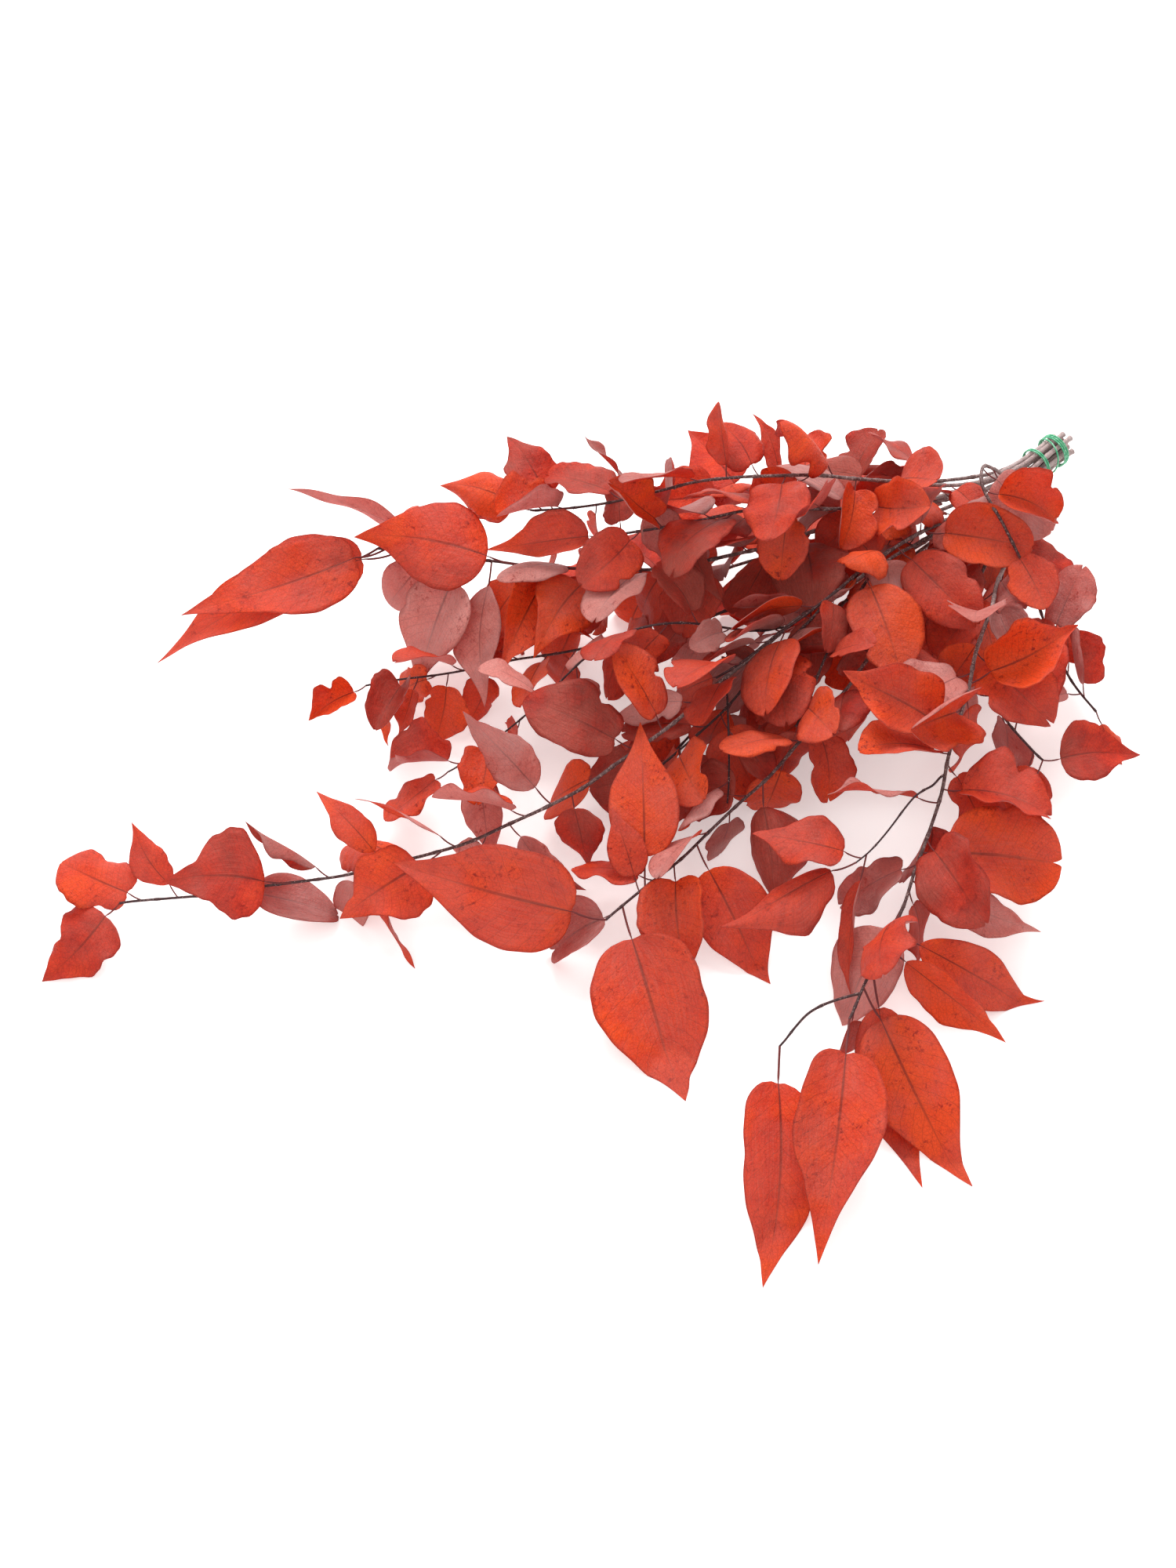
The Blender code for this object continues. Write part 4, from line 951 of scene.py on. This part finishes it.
@dataclass(frozen=True)
class FloorFinish:
    """Opal white acrylic, lit softly from below like a drawing office's light table."""

    name: str = "opal_light_table"
    white: str = "#F7F6F5"
    shade: str = "#F1F0EF"
    glow: float = 0.42

    def build(self) -> bpy.types.Material:
        """The material, with a faint, broad unevenness."""
        made, tree, output = new_material(self.name)
        place = add(tree, "ShaderNodeTexCoord").outputs["Object"]
        drift = add(tree, "ShaderNodeTexNoise", {"Vector": place, "Scale": 3.0}).outputs["Fac"]
        colour = add(tree, "ShaderNodeMix", {0: drift, 6: linear(self.white), 7: linear(self.shade)},
                     data_type="RGBA").outputs[2]
        shader = add(tree, "ShaderNodeBsdfPrincipled", {"Base Color": colour, "Roughness": 0.9,
                                                        "Emission Color": linear(self.white),
                                                        "Emission Strength": self.glow})
        tree.links.new(shader.outputs[0], output.inputs["Surface"])
        return made


# Each side's painted sheen is a paler colour mixed in along its blade.
UPPER_SIDE = LeafFinish(
    "dyed_leaf_upper_side",
    ((0.0, "#7C382F"), (0.22, "#A23529"), (0.45, "#CB422D"), (0.72, "#E2502F"), (1.0, "#F05A28")),
    vein="#7A2622", spot="#741F1B", glow="#FF4A18", painted_sheen_strength=0.50, painted_sheen_colour="#DC7A68", roughness=0.50,
    through=0.38)
UNDERSIDE = LeafFinish(
    "dyed_leaf_underside",
    ((0.0, "#91514B"), (0.35, "#AF6158"), (0.70, "#C67A70"), (1.0, "#D58F85")),
    vein="#8E4743", spot="#8A332D", glow="#FF5A2C", painted_sheen_strength=0.75, painted_sheen_colour="#D0A49E", roughness=0.55,
    through=0.28)


@dataclass
class RoundBars:
    """A Geometry Nodes tree that draws a round bar along each path, with swellings and raised pores."""

    tree: bpy.types.NodeTree = field(init=False)
    inputs: dict = field(init=False)

    def __post_init__(self) -> None:
        """Builds the tree."""
        tree = bpy.data.node_groups.new("round_bars_on_paths", "GeometryNodeTree")
        tree.interface.new_socket("Geometry", in_out="OUTPUT", socket_type="NodeSocketGeometry")
        sockets = {"Paths": "NodeSocketGeometry", "Step": "NodeSocketFloat", "Sides": "NodeSocketInt",
                   "Node Spacing": "NodeSocketFloat", "Swelling": "NodeSocketFloat",
                   "Pores per m2": "NodeSocketFloat", "Pore Size": "NodeSocketFloat",
                   "Seed": "NodeSocketInt", "Finish": "NodeSocketMaterial"}
        made = {n: tree.interface.new_socket(n, in_out="INPUT", socket_type=k) for n, k in sockets.items()}
        self.inputs = {name: socket.identifier for name, socket in made.items()}
        given = add(tree, "NodeGroupInput").outputs
        radius = add(tree, "GeometryNodeInputNamedAttribute", {"Name": "thick"}, data_type="FLOAT").outputs[0]
        woody = add(tree, "GeometryNodeInputNamedAttribute", {"Name": "woody"}, data_type="FLOAT").outputs[0]
        line = add(tree, "GeometryNodeMeshToCurve", {0: given["Paths"]})
        line = add(tree, "GeometryNodeCurveSplineType", {0: line.outputs[0]}, spline_type="CATMULL_ROM")
        line = add(tree, "GeometryNodeResampleCurve", {"Curve": line.outputs[0], "Length": given["Step"]},
                   mode="LENGTH")
        along = add(tree, "GeometryNodeSplineParameter").outputs["Length"]
        half = add(tree, "ShaderNodeMath",
                   {0: given["Node Spacing"], 1: 0.5}, operation="MULTIPLY").outputs[0]
        near = add(tree, "ShaderNodeMath", {0: along, 1: half}, operation="PINGPONG").outputs[0]
        swell = add(tree, "ShaderNodeMapRange", {0: near, 1: 0.0, 2: 0.0030, 3: given["Swelling"], 4: 0.0},
                    interpolation_type="SMOOTHSTEP").outputs[0]
        swell = add(tree, "ShaderNodeMath", {0: swell, 1: woody, 2: 1.0}, operation="MULTIPLY_ADD").outputs[0]
        scale = add(tree, "ShaderNodeMath", {0: radius, 1: swell}, operation="MULTIPLY").outputs[0]
        circle = add(tree, "GeometryNodeCurvePrimitiveCircle", {"Resolution": given["Sides"], "Radius": 1.0})
        bar = add(tree, "GeometryNodeCurveToMesh", {"Curve": line.outputs[0], "Scale": scale,
                                                    "Profile Curve": circle.outputs[0], "Fill Caps": True})
        spots = add(tree, "GeometryNodeDistributePointsOnFaces", {
            "Mesh": bar.outputs[0], "Selection": woody, "Density": given["Pores per m2"],
            "Seed": given["Seed"]})
        ball = add(tree, "GeometryNodeMeshIcoSphere", {"Radius": 1.0, "Subdivisions": 1})
        ball = add(tree, "GeometryNodeStoreNamedAttribute",
                   {0: ball.outputs[0], "Name": "pale", "Value": 1.0},
                   data_type="FLOAT", domain="POINT")
        low = add(tree, "ShaderNodeMath", {0: given["Pore Size"], 1: 0.5}, operation="MULTIPLY").outputs[0]
        size = add(tree, "FunctionNodeRandomValue", {2: low, 3: given["Pore Size"], "Seed": given["Seed"]},
                   data_type="FLOAT").outputs[1]
        pores = add(tree, "GeometryNodeInstanceOnPoints", {
            "Points": spots.outputs[0], "Instance": ball.outputs[0], "Rotation": spots.outputs["Rotation"],
            "Scale": size})
        real = add(tree, "GeometryNodeRealizeInstances", {0: pores.outputs[0]})
        both = add(tree, "GeometryNodeJoinGeometry", {0: bar.outputs[0]})
        tree.links.new(real.outputs[0], both.inputs[0])
        shaded = add(tree, "GeometryNodeSetShadeSmooth", {0: both.outputs[0], "Shade Smooth": True})
        whole = add(tree, "GeometryNodeSetMaterial", {0: shaded.outputs[0], "Material": given["Finish"]})
        end = add(tree, "NodeGroupOutput")
        tree.links.new(whole.outputs[0], end.inputs[0])
        self.tree = tree

    def draw(self, name: str, paths: list, **values) -> bpy.types.Object:
        """A piece of round bars.

        Args:
            name: the piece's name.
            paths: (points, radii, woody) of each bar, where woody is 1 for bark and 0 for a stalk.
            **values: the tree's inputs, with _ for a space.

        Returns:
            The piece, with the modifier's result as its plain mesh.
        """
        mesh = bpy.data.meshes.new(name + "_paths")
        counts = [len(points) for points, _, _ in paths]
        starts = np.cumsum([0] + counts)
        edges = [(a + k, a + k + 1) for a, count in zip(starts, counts) for k in range(count - 1)]
        mesh.from_pydata(np.vstack([p for p, _, _ in paths]).tolist(), edges, [])
        for label, rows in (("thick", [r for _, r, _ in paths]),
                            ("woody", [np.full(len(p), w) for p, _, w in paths])):
            held = mesh.attributes.new(label, "FLOAT", "POINT")
            held.data.foreach_set("value", np.concatenate(rows).astype(np.float32))
        obj = shown(name, mesh)
        modifier = obj.modifiers.new("bars", "NODES")
        modifier.node_group = self.tree
        for key, value in values.items():
            modifier[self.inputs[key.replace("_", " ")]] = value
        bpy.context.view_layer.update()
        plain = bpy.data.meshes.new_from_object(obj.evaluated_get(bpy.context.evaluated_depsgraph_get()))
        obj.modifiers.remove(modifier)
        obj.data = plain
        plain.name = name
        bpy.data.meshes.remove(mesh)
        return obj


def hand_over(piece: bpy.types.Object, slot: str, *nodes: str) -> None:
    """Says what a finished piece rides on and which solids it stands for."""
    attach(piece, "root")
    if nodes:
        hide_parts(*nodes)
    LOG.info("%-34s %7d faces, for %s", piece.name, len(piece.data.polygons), ", ".join(nodes) or "trim")


@dataclass
class CadLeaves:
    """Finds which placing of a leaf the CAD model holds, by looking for the tip among its vertices."""

    trees: dict = field(default_factory=dict)

    def tree(self, node: str) -> KDTree:
        """A search tree of a CAD node's vertices."""
        if node not in self.trees:
            vertices = frame["nodes"][node].data.vertices
            tree = KDTree(len(vertices))
            for i, vertex in enumerate(vertices):
                tree.insert(vertex.co, i)
            tree.balance()
            self.trees[node] = tree
        return self.trees[node]

    def holds(self, node: str, point: np.ndarray) -> bool:
        """True where the node has a vertex at the point."""
        return self.tree(node).find(Vector(point))[2] < SAME_PLACE


@dataclass
class GrownBranch:
    """One branch: its stem, the leaves that grew on it, and the stalks between them."""

    branch: Branch
    routes: dict[str, Route]
    cad: CadLeaves
    node_spacing: float = 0.024
    swelling: float = 0.28
    slots: int = field(init=False)
    found: list = field(init=False)

    def __post_init__(self) -> None:
        """Finds the leaves that the CAD model holds, each with the name of its node."""
        slots = list(enumerate(self.branch.leaves)) + list(enumerate(self.ruled_leaves(), 100))
        self.slots = len(slots)
        self.found = [built for slot, leaf in slots if (built := self.built(leaf, slot))]

    @property
    def short(self) -> str:
        """The branch's name in its leaves' names."""
        return self.branch.name.removeprefix("branch_")

    @property
    def route(self) -> Route:
        """The branch's own route."""
        return self.routes[self.branch.name]

    def stem(self) -> tuple[np.ndarray, np.ndarray]:
        """The stem's points and radii; a twig begins inside the branch it grows on."""
        keep = self.branch.drawn(len(self.route.points))
        points, radii = self.route.points[keep], self.route.radii[keep]
        if self.branch.parent:
            fork = self.routes[self.branch.parent].point(self.branch.parent_at)
            points, radii = np.vstack((fork, points)), np.concatenate((radii[:1], radii))
        return points, radii

    def ruled_leaves(self) -> list[Leaf]:
        """Leaf settings along the branch: a golden turn round the stem from one to the next."""
        foliage = self.branch.foliage
        count = int(self.branch.reach * (1.0 - foliage.start) / foliage.spacing)
        taken = [leaf.at for leaf in self.branch.leaves]
        found = []
        for k in range(count):
            share = foliage.start + (1.0 - foliage.start) * (k + 0.5) / count
            if any(abs(share - at) < CROWDED * foliage.spacing / self.branch.reach for at in taken):
                continue
            ahead = self.route.direction(share)
            level = np.cross((0.0, 0.0, 1.0), ahead)
            level = level / np.linalg.norm(level)
            turn = GOLDEN_TURN * k
            growth = ahead * FORWARD + level * math.cos(turn) + np.cross(ahead, level) * math.sin(turn)
            heading = math.degrees(math.atan2(growth[1], growth[0]))
            rise = math.degrees(math.atan2(growth[2], math.hypot(growth[0], growth[1]))) - DROOP
            small, large = SIZE_RANGE
            size = foliage.length * (small + (large - small) * ((k * 0.618) % 1.0))
            roll = FACE_TURN * math.sin(GOLDEN_TURN * k)
            found.append(Leaf(share, heading, rise, roll, size, size * foliage.slim, foliage.form,
                              RULED_ARCH))
        return found

    def placed(self, leaf: Leaf, slot: int, attempt: int) -> Blade:
        """A leaf's Blade at one attempt: the first is as it was set, later ones are turned at random."""
        draw = random.Random(f"{self.branch.name} {slot} {attempt}")
        loose = 0.0 if attempt == 0 else LOOSE[0] + LOOSE[1] * attempt
        heading = math.radians(leaf.heading + draw.uniform(-loose, loose))
        rise = math.radians(leaf.rise + draw.uniform(-0.6, 0.6) * loose)
        roll = math.radians(leaf.roll + draw.uniform(-1.2, 1.2) * loose)
        shrink = 1.0 - SHRINK * attempt
        length = leaf.length / 100.0 * shrink
        node = self.route.point(leaf.at)
        root = node
        if leaf.separate:
            ahead = compass(heading, rise)
            clear = self.route.radius(leaf.at) + PETIOLE_RADIUS + NODE_GAP
            slant = float(np.linalg.norm(np.cross(ahead, self.route.direction(leaf.at))))
            root = node + ahead * (clear if leaf.at > AT_TIP else clear / max(slant, STEEPEST))
        arch, twist, fold = (math.radians(degrees) for degrees in (
            leaf.arch + draw.uniform(*MORE_ARCH), draw.uniform(-TWIST, TWIST), draw.uniform(*FOLDS)))
        return Blade(root, node, heading, rise, roll, length, leaf.width / 100.0 * shrink, leaf.form,
                     arch, twist, fold, PETIOLE[0] + PETIOLE[1] * length, f"{self.branch.name} {slot} looks")

    def built(self, leaf: Leaf, slot: int) -> tuple[Blade, str] | None:
        """The placing that the CAD model holds, with its node's name, or None where it has no such leaf."""
        nodes = [self.branch.name]
        if leaf.separate:
            nodes = [n for n in frame["nodes"] if n.startswith(f"leaf_{self.short}_")]
        for attempt in range(TRIES):
            blade = self.placed(leaf, slot, attempt)
            for node in nodes:
                if self.cad.holds(node, blade.tip()):
                    return blade, node
        return None

    def grow(self, bars: RoundBars, bark: bpy.types.Material, leaf_sides: list) -> None:
        """Builds and hands over the branch's pieces.

        Args:
            bars: the tree that draws stems and stalks.
            bark: the stem's material.
            leaf_sides: the materials of a leaf's upper side and underside.
        """
        joined = BladeMesh(f"foliage_{self.short}")
        paths = [(*self.stem(), 1.0)]
        for blade, node in self.found:
            paths.append((*blade.stalk(), 0.0))
            if node == self.branch.name:
                joined.add(blade)
            else:
                single = BladeMesh(f"blade_{node.removeprefix('leaf_')}")
                single.add(blade)
                hand_over(single.build(leaf_sides), "leaf", node)
        wood = bars.draw(f"stem_{self.short}", paths, Step=0.0018, Sides=10, Node_Spacing=self.node_spacing,
                         Swelling=self.swelling, Pores_per_m2=90000.0, Pore_Size=0.00028, Seed=7, Finish=bark)
        hand_over(wood, "branch", self.branch.name)
        if joined.total:
            hand_over(joined.build(leaf_sides), "leaf", self.branch.name)
        LOG.info("%s: %d of %d leaves found", self.branch.name, len(self.found), self.slots)


@dataclass
class Tie:
    """The wire wound round the stems, and the stems' cut ends."""

    wire_radius: float = 0.00055
    clearance: float = 0.0009
    pitch: float = 0.0016
    start: float = 0.020
    slant: float = 0.013
    close_turns: int = 3
    turns: int = 6
    turn_points: int = 12
    end_sides: int = 20
    end_rings: tuple = (0.0, 0.35, 0.7, 0.92, 1.0)   # from the pith to the bark
    dome: float = 0.0003                             # how far the middle of a cut end bulges
    sunk: float = 0.0004                             # how far its rim reaches back into the stem

    def wire_points(self) -> np.ndarray:
        """Three close turns near the cut ends, one slanting turn, and two close turns."""
        radius = 2 * RING_PITCH + THICKEST / 2000.0 + self.clearance + self.wire_radius
        turn = np.arange(self.turns * self.turn_points + 1) / self.turn_points
        slant = self.slant * smooth(turn - self.close_turns)
        angle = 2 * math.pi * turn
        return np.column_stack((TIE[0] + self.start - turn * self.pitch - slant,
                                TIE[1] + radius * np.cos(angle), TIE[2] + radius * np.sin(angle)))

    def cut_ends(self, routes: dict[str, Route]) -> bpy.types.Object:
        """A slightly domed disc on each cut end, with rings for its pith, wood and bark."""
        angles = [2 * math.pi * k / self.end_sides for k in range(self.end_sides)]
        rings = [(max(share, 0.02), self.dome * (1.2 - share), share) for share in self.end_rings]
        rings.append((1.0, -self.sunk, 1.0))
        points, faces, shares = [], [], []
        for route in (routes[branch.name] for branch in BRANCHES if not branch.parent):
            end, radius = route.points[0], route.radii[0]
            numbers = len(points) + np.arange(len(rings) * len(angles)).reshape(len(rings), -1)
            for out, past, share in rings:
                reach = out * radius * 0.99
                points += [(end[0] + past, end[1] + reach * math.cos(a), end[2] + reach * math.sin(a))
                           for a in angles]
                shares += [share] * len(angles)
            sides = quads(np.column_stack((numbers, numbers[:, 0])))
            faces += [numbers[0].tolist(), *sides.tolist(), numbers[-1, ::-1].tolist()]
        mesh = bpy.data.meshes.new("cut_ends")
        mesh.from_pydata(points, [], faces)
        mark(mesh, "ring", shares)
        mesh.materials.append(CutWoodFinish().build())
        mesh.shade_smooth()
        return shown("cut_ends", mesh)

    def build(self, bars: RoundBars, routes: dict[str, Route]) -> None:
        """Builds and hands over the wire and the cut ends."""
        points = self.wire_points()
        wire = bars.draw("green_wire", [(points, np.full(len(points), self.wire_radius), 0.0)], Step=0.0008,
                         Sides=12, Node_Spacing=1.0, Swelling=0.0, Pores_per_m2=0.0, Pore_Size=0.001, Seed=1,
                         Finish=WireFinish().build())
        hand_over(wire, "tie_wire", "tie_wire")
        hand_over(self.cut_ends(routes), "branch")


@dataclass
class Studio:
    """A white floor, soft light from above and behind, and the camera."""

    aim: tuple = (-0.041, 0.050, 0.0)
    distance: float = 1.9
    elevation: float = 50.0
    heading: float = 45.0
    lens: float = 70.0

    def camera(self) -> None:
        """The camera, looking down at the bunch."""
        data = bpy.data.cameras.new("camera")
        data.lens = self.lens
        data.sensor_fit = "VERTICAL"
        data.sensor_height = 36.0
        look = Vector(compass(math.radians(self.heading), -math.radians(self.elevation)))
        spot = Vector(self.aim) - look * self.distance
        bpy.context.scene.camera = self.facing("camera", data, spot, look)

    def lamp(self, name: str, spot: tuple, size: float, power: float) -> None:
        """A square soft light that faces the bunch."""
        data = bpy.data.lights.new(name, "AREA")
        data.size, data.energy = size, power
        self.facing(name, data, Vector(spot), Vector(self.aim) - Vector(spot))

    @staticmethod
    def facing(name: str, data: bpy.types.ID, spot: Vector, look: Vector) -> bpy.types.Object:
        """An object at a spot that looks one way."""
        placed = bpy.data.objects.new(name, data)
        placed.location = spot
        placed.rotation_euler = look.to_track_quat("-Z", "Y").to_euler()
        bpy.context.scene.collection.objects.link(placed)
        return placed

    def floor(self) -> None:
        """The white floor, wide enough to fill every view."""
        half = 20.0
        mesh = bpy.data.meshes.new("floor")
        mesh.from_pydata([(-half, -half, 0), (half, -half, 0), (half, half, 0), (-half, half, 0)], [],
                         [(0, 1, 2, 3)])
        mesh.materials.append(FloorFinish().build())
        shown("floor", mesh)

    def build(self) -> None:
        """Sets up the light, the floor and the camera."""
        scene = bpy.context.scene
        scene.view_settings.view_transform = "Standard"
        scene.world = bpy.data.worlds.new("studio")
        scene.world.use_nodes = True
        air = scene.world.node_tree.nodes["Background"]
        air.inputs["Color"].default_value = (1.0, 1.0, 1.0, 1.0)
        air.inputs["Strength"].default_value = 0.80
        self.lamp("window_behind", (0.9, 1.0, 1.5), 1.2, 40.0)
        self.lamp("soft_front", (-1.2, -0.6, 1.7), 1.8, 10.0)
        self.floor()
        self.camera()


def main() -> None:
    """Builds every piece of the bunch, and the studio round it."""
    logging.basicConfig(level=logging.INFO, format="%(message)s")
    for name in ("Cube", "Light", "Camera"):
        if name in bpy.data.objects:
            bpy.data.objects.remove(bpy.data.objects[name])
    routes = all_routes()
    bars, cad = RoundBars(), CadLeaves()
    bark = BarkFinish().build()
    leaf_sides = [UPPER_SIDE.build(), UNDERSIDE.build()]
    grown = [GrownBranch(branch, routes, cad) for branch in BRANCHES]
    settle([blade for one in grown for blade, _ in one.found])
    for one in grown:
        one.grow(bars, bark, leaf_sides)
    Tie().build(bars, routes)
    Studio().build()


if __name__ == "__main__":
    main()
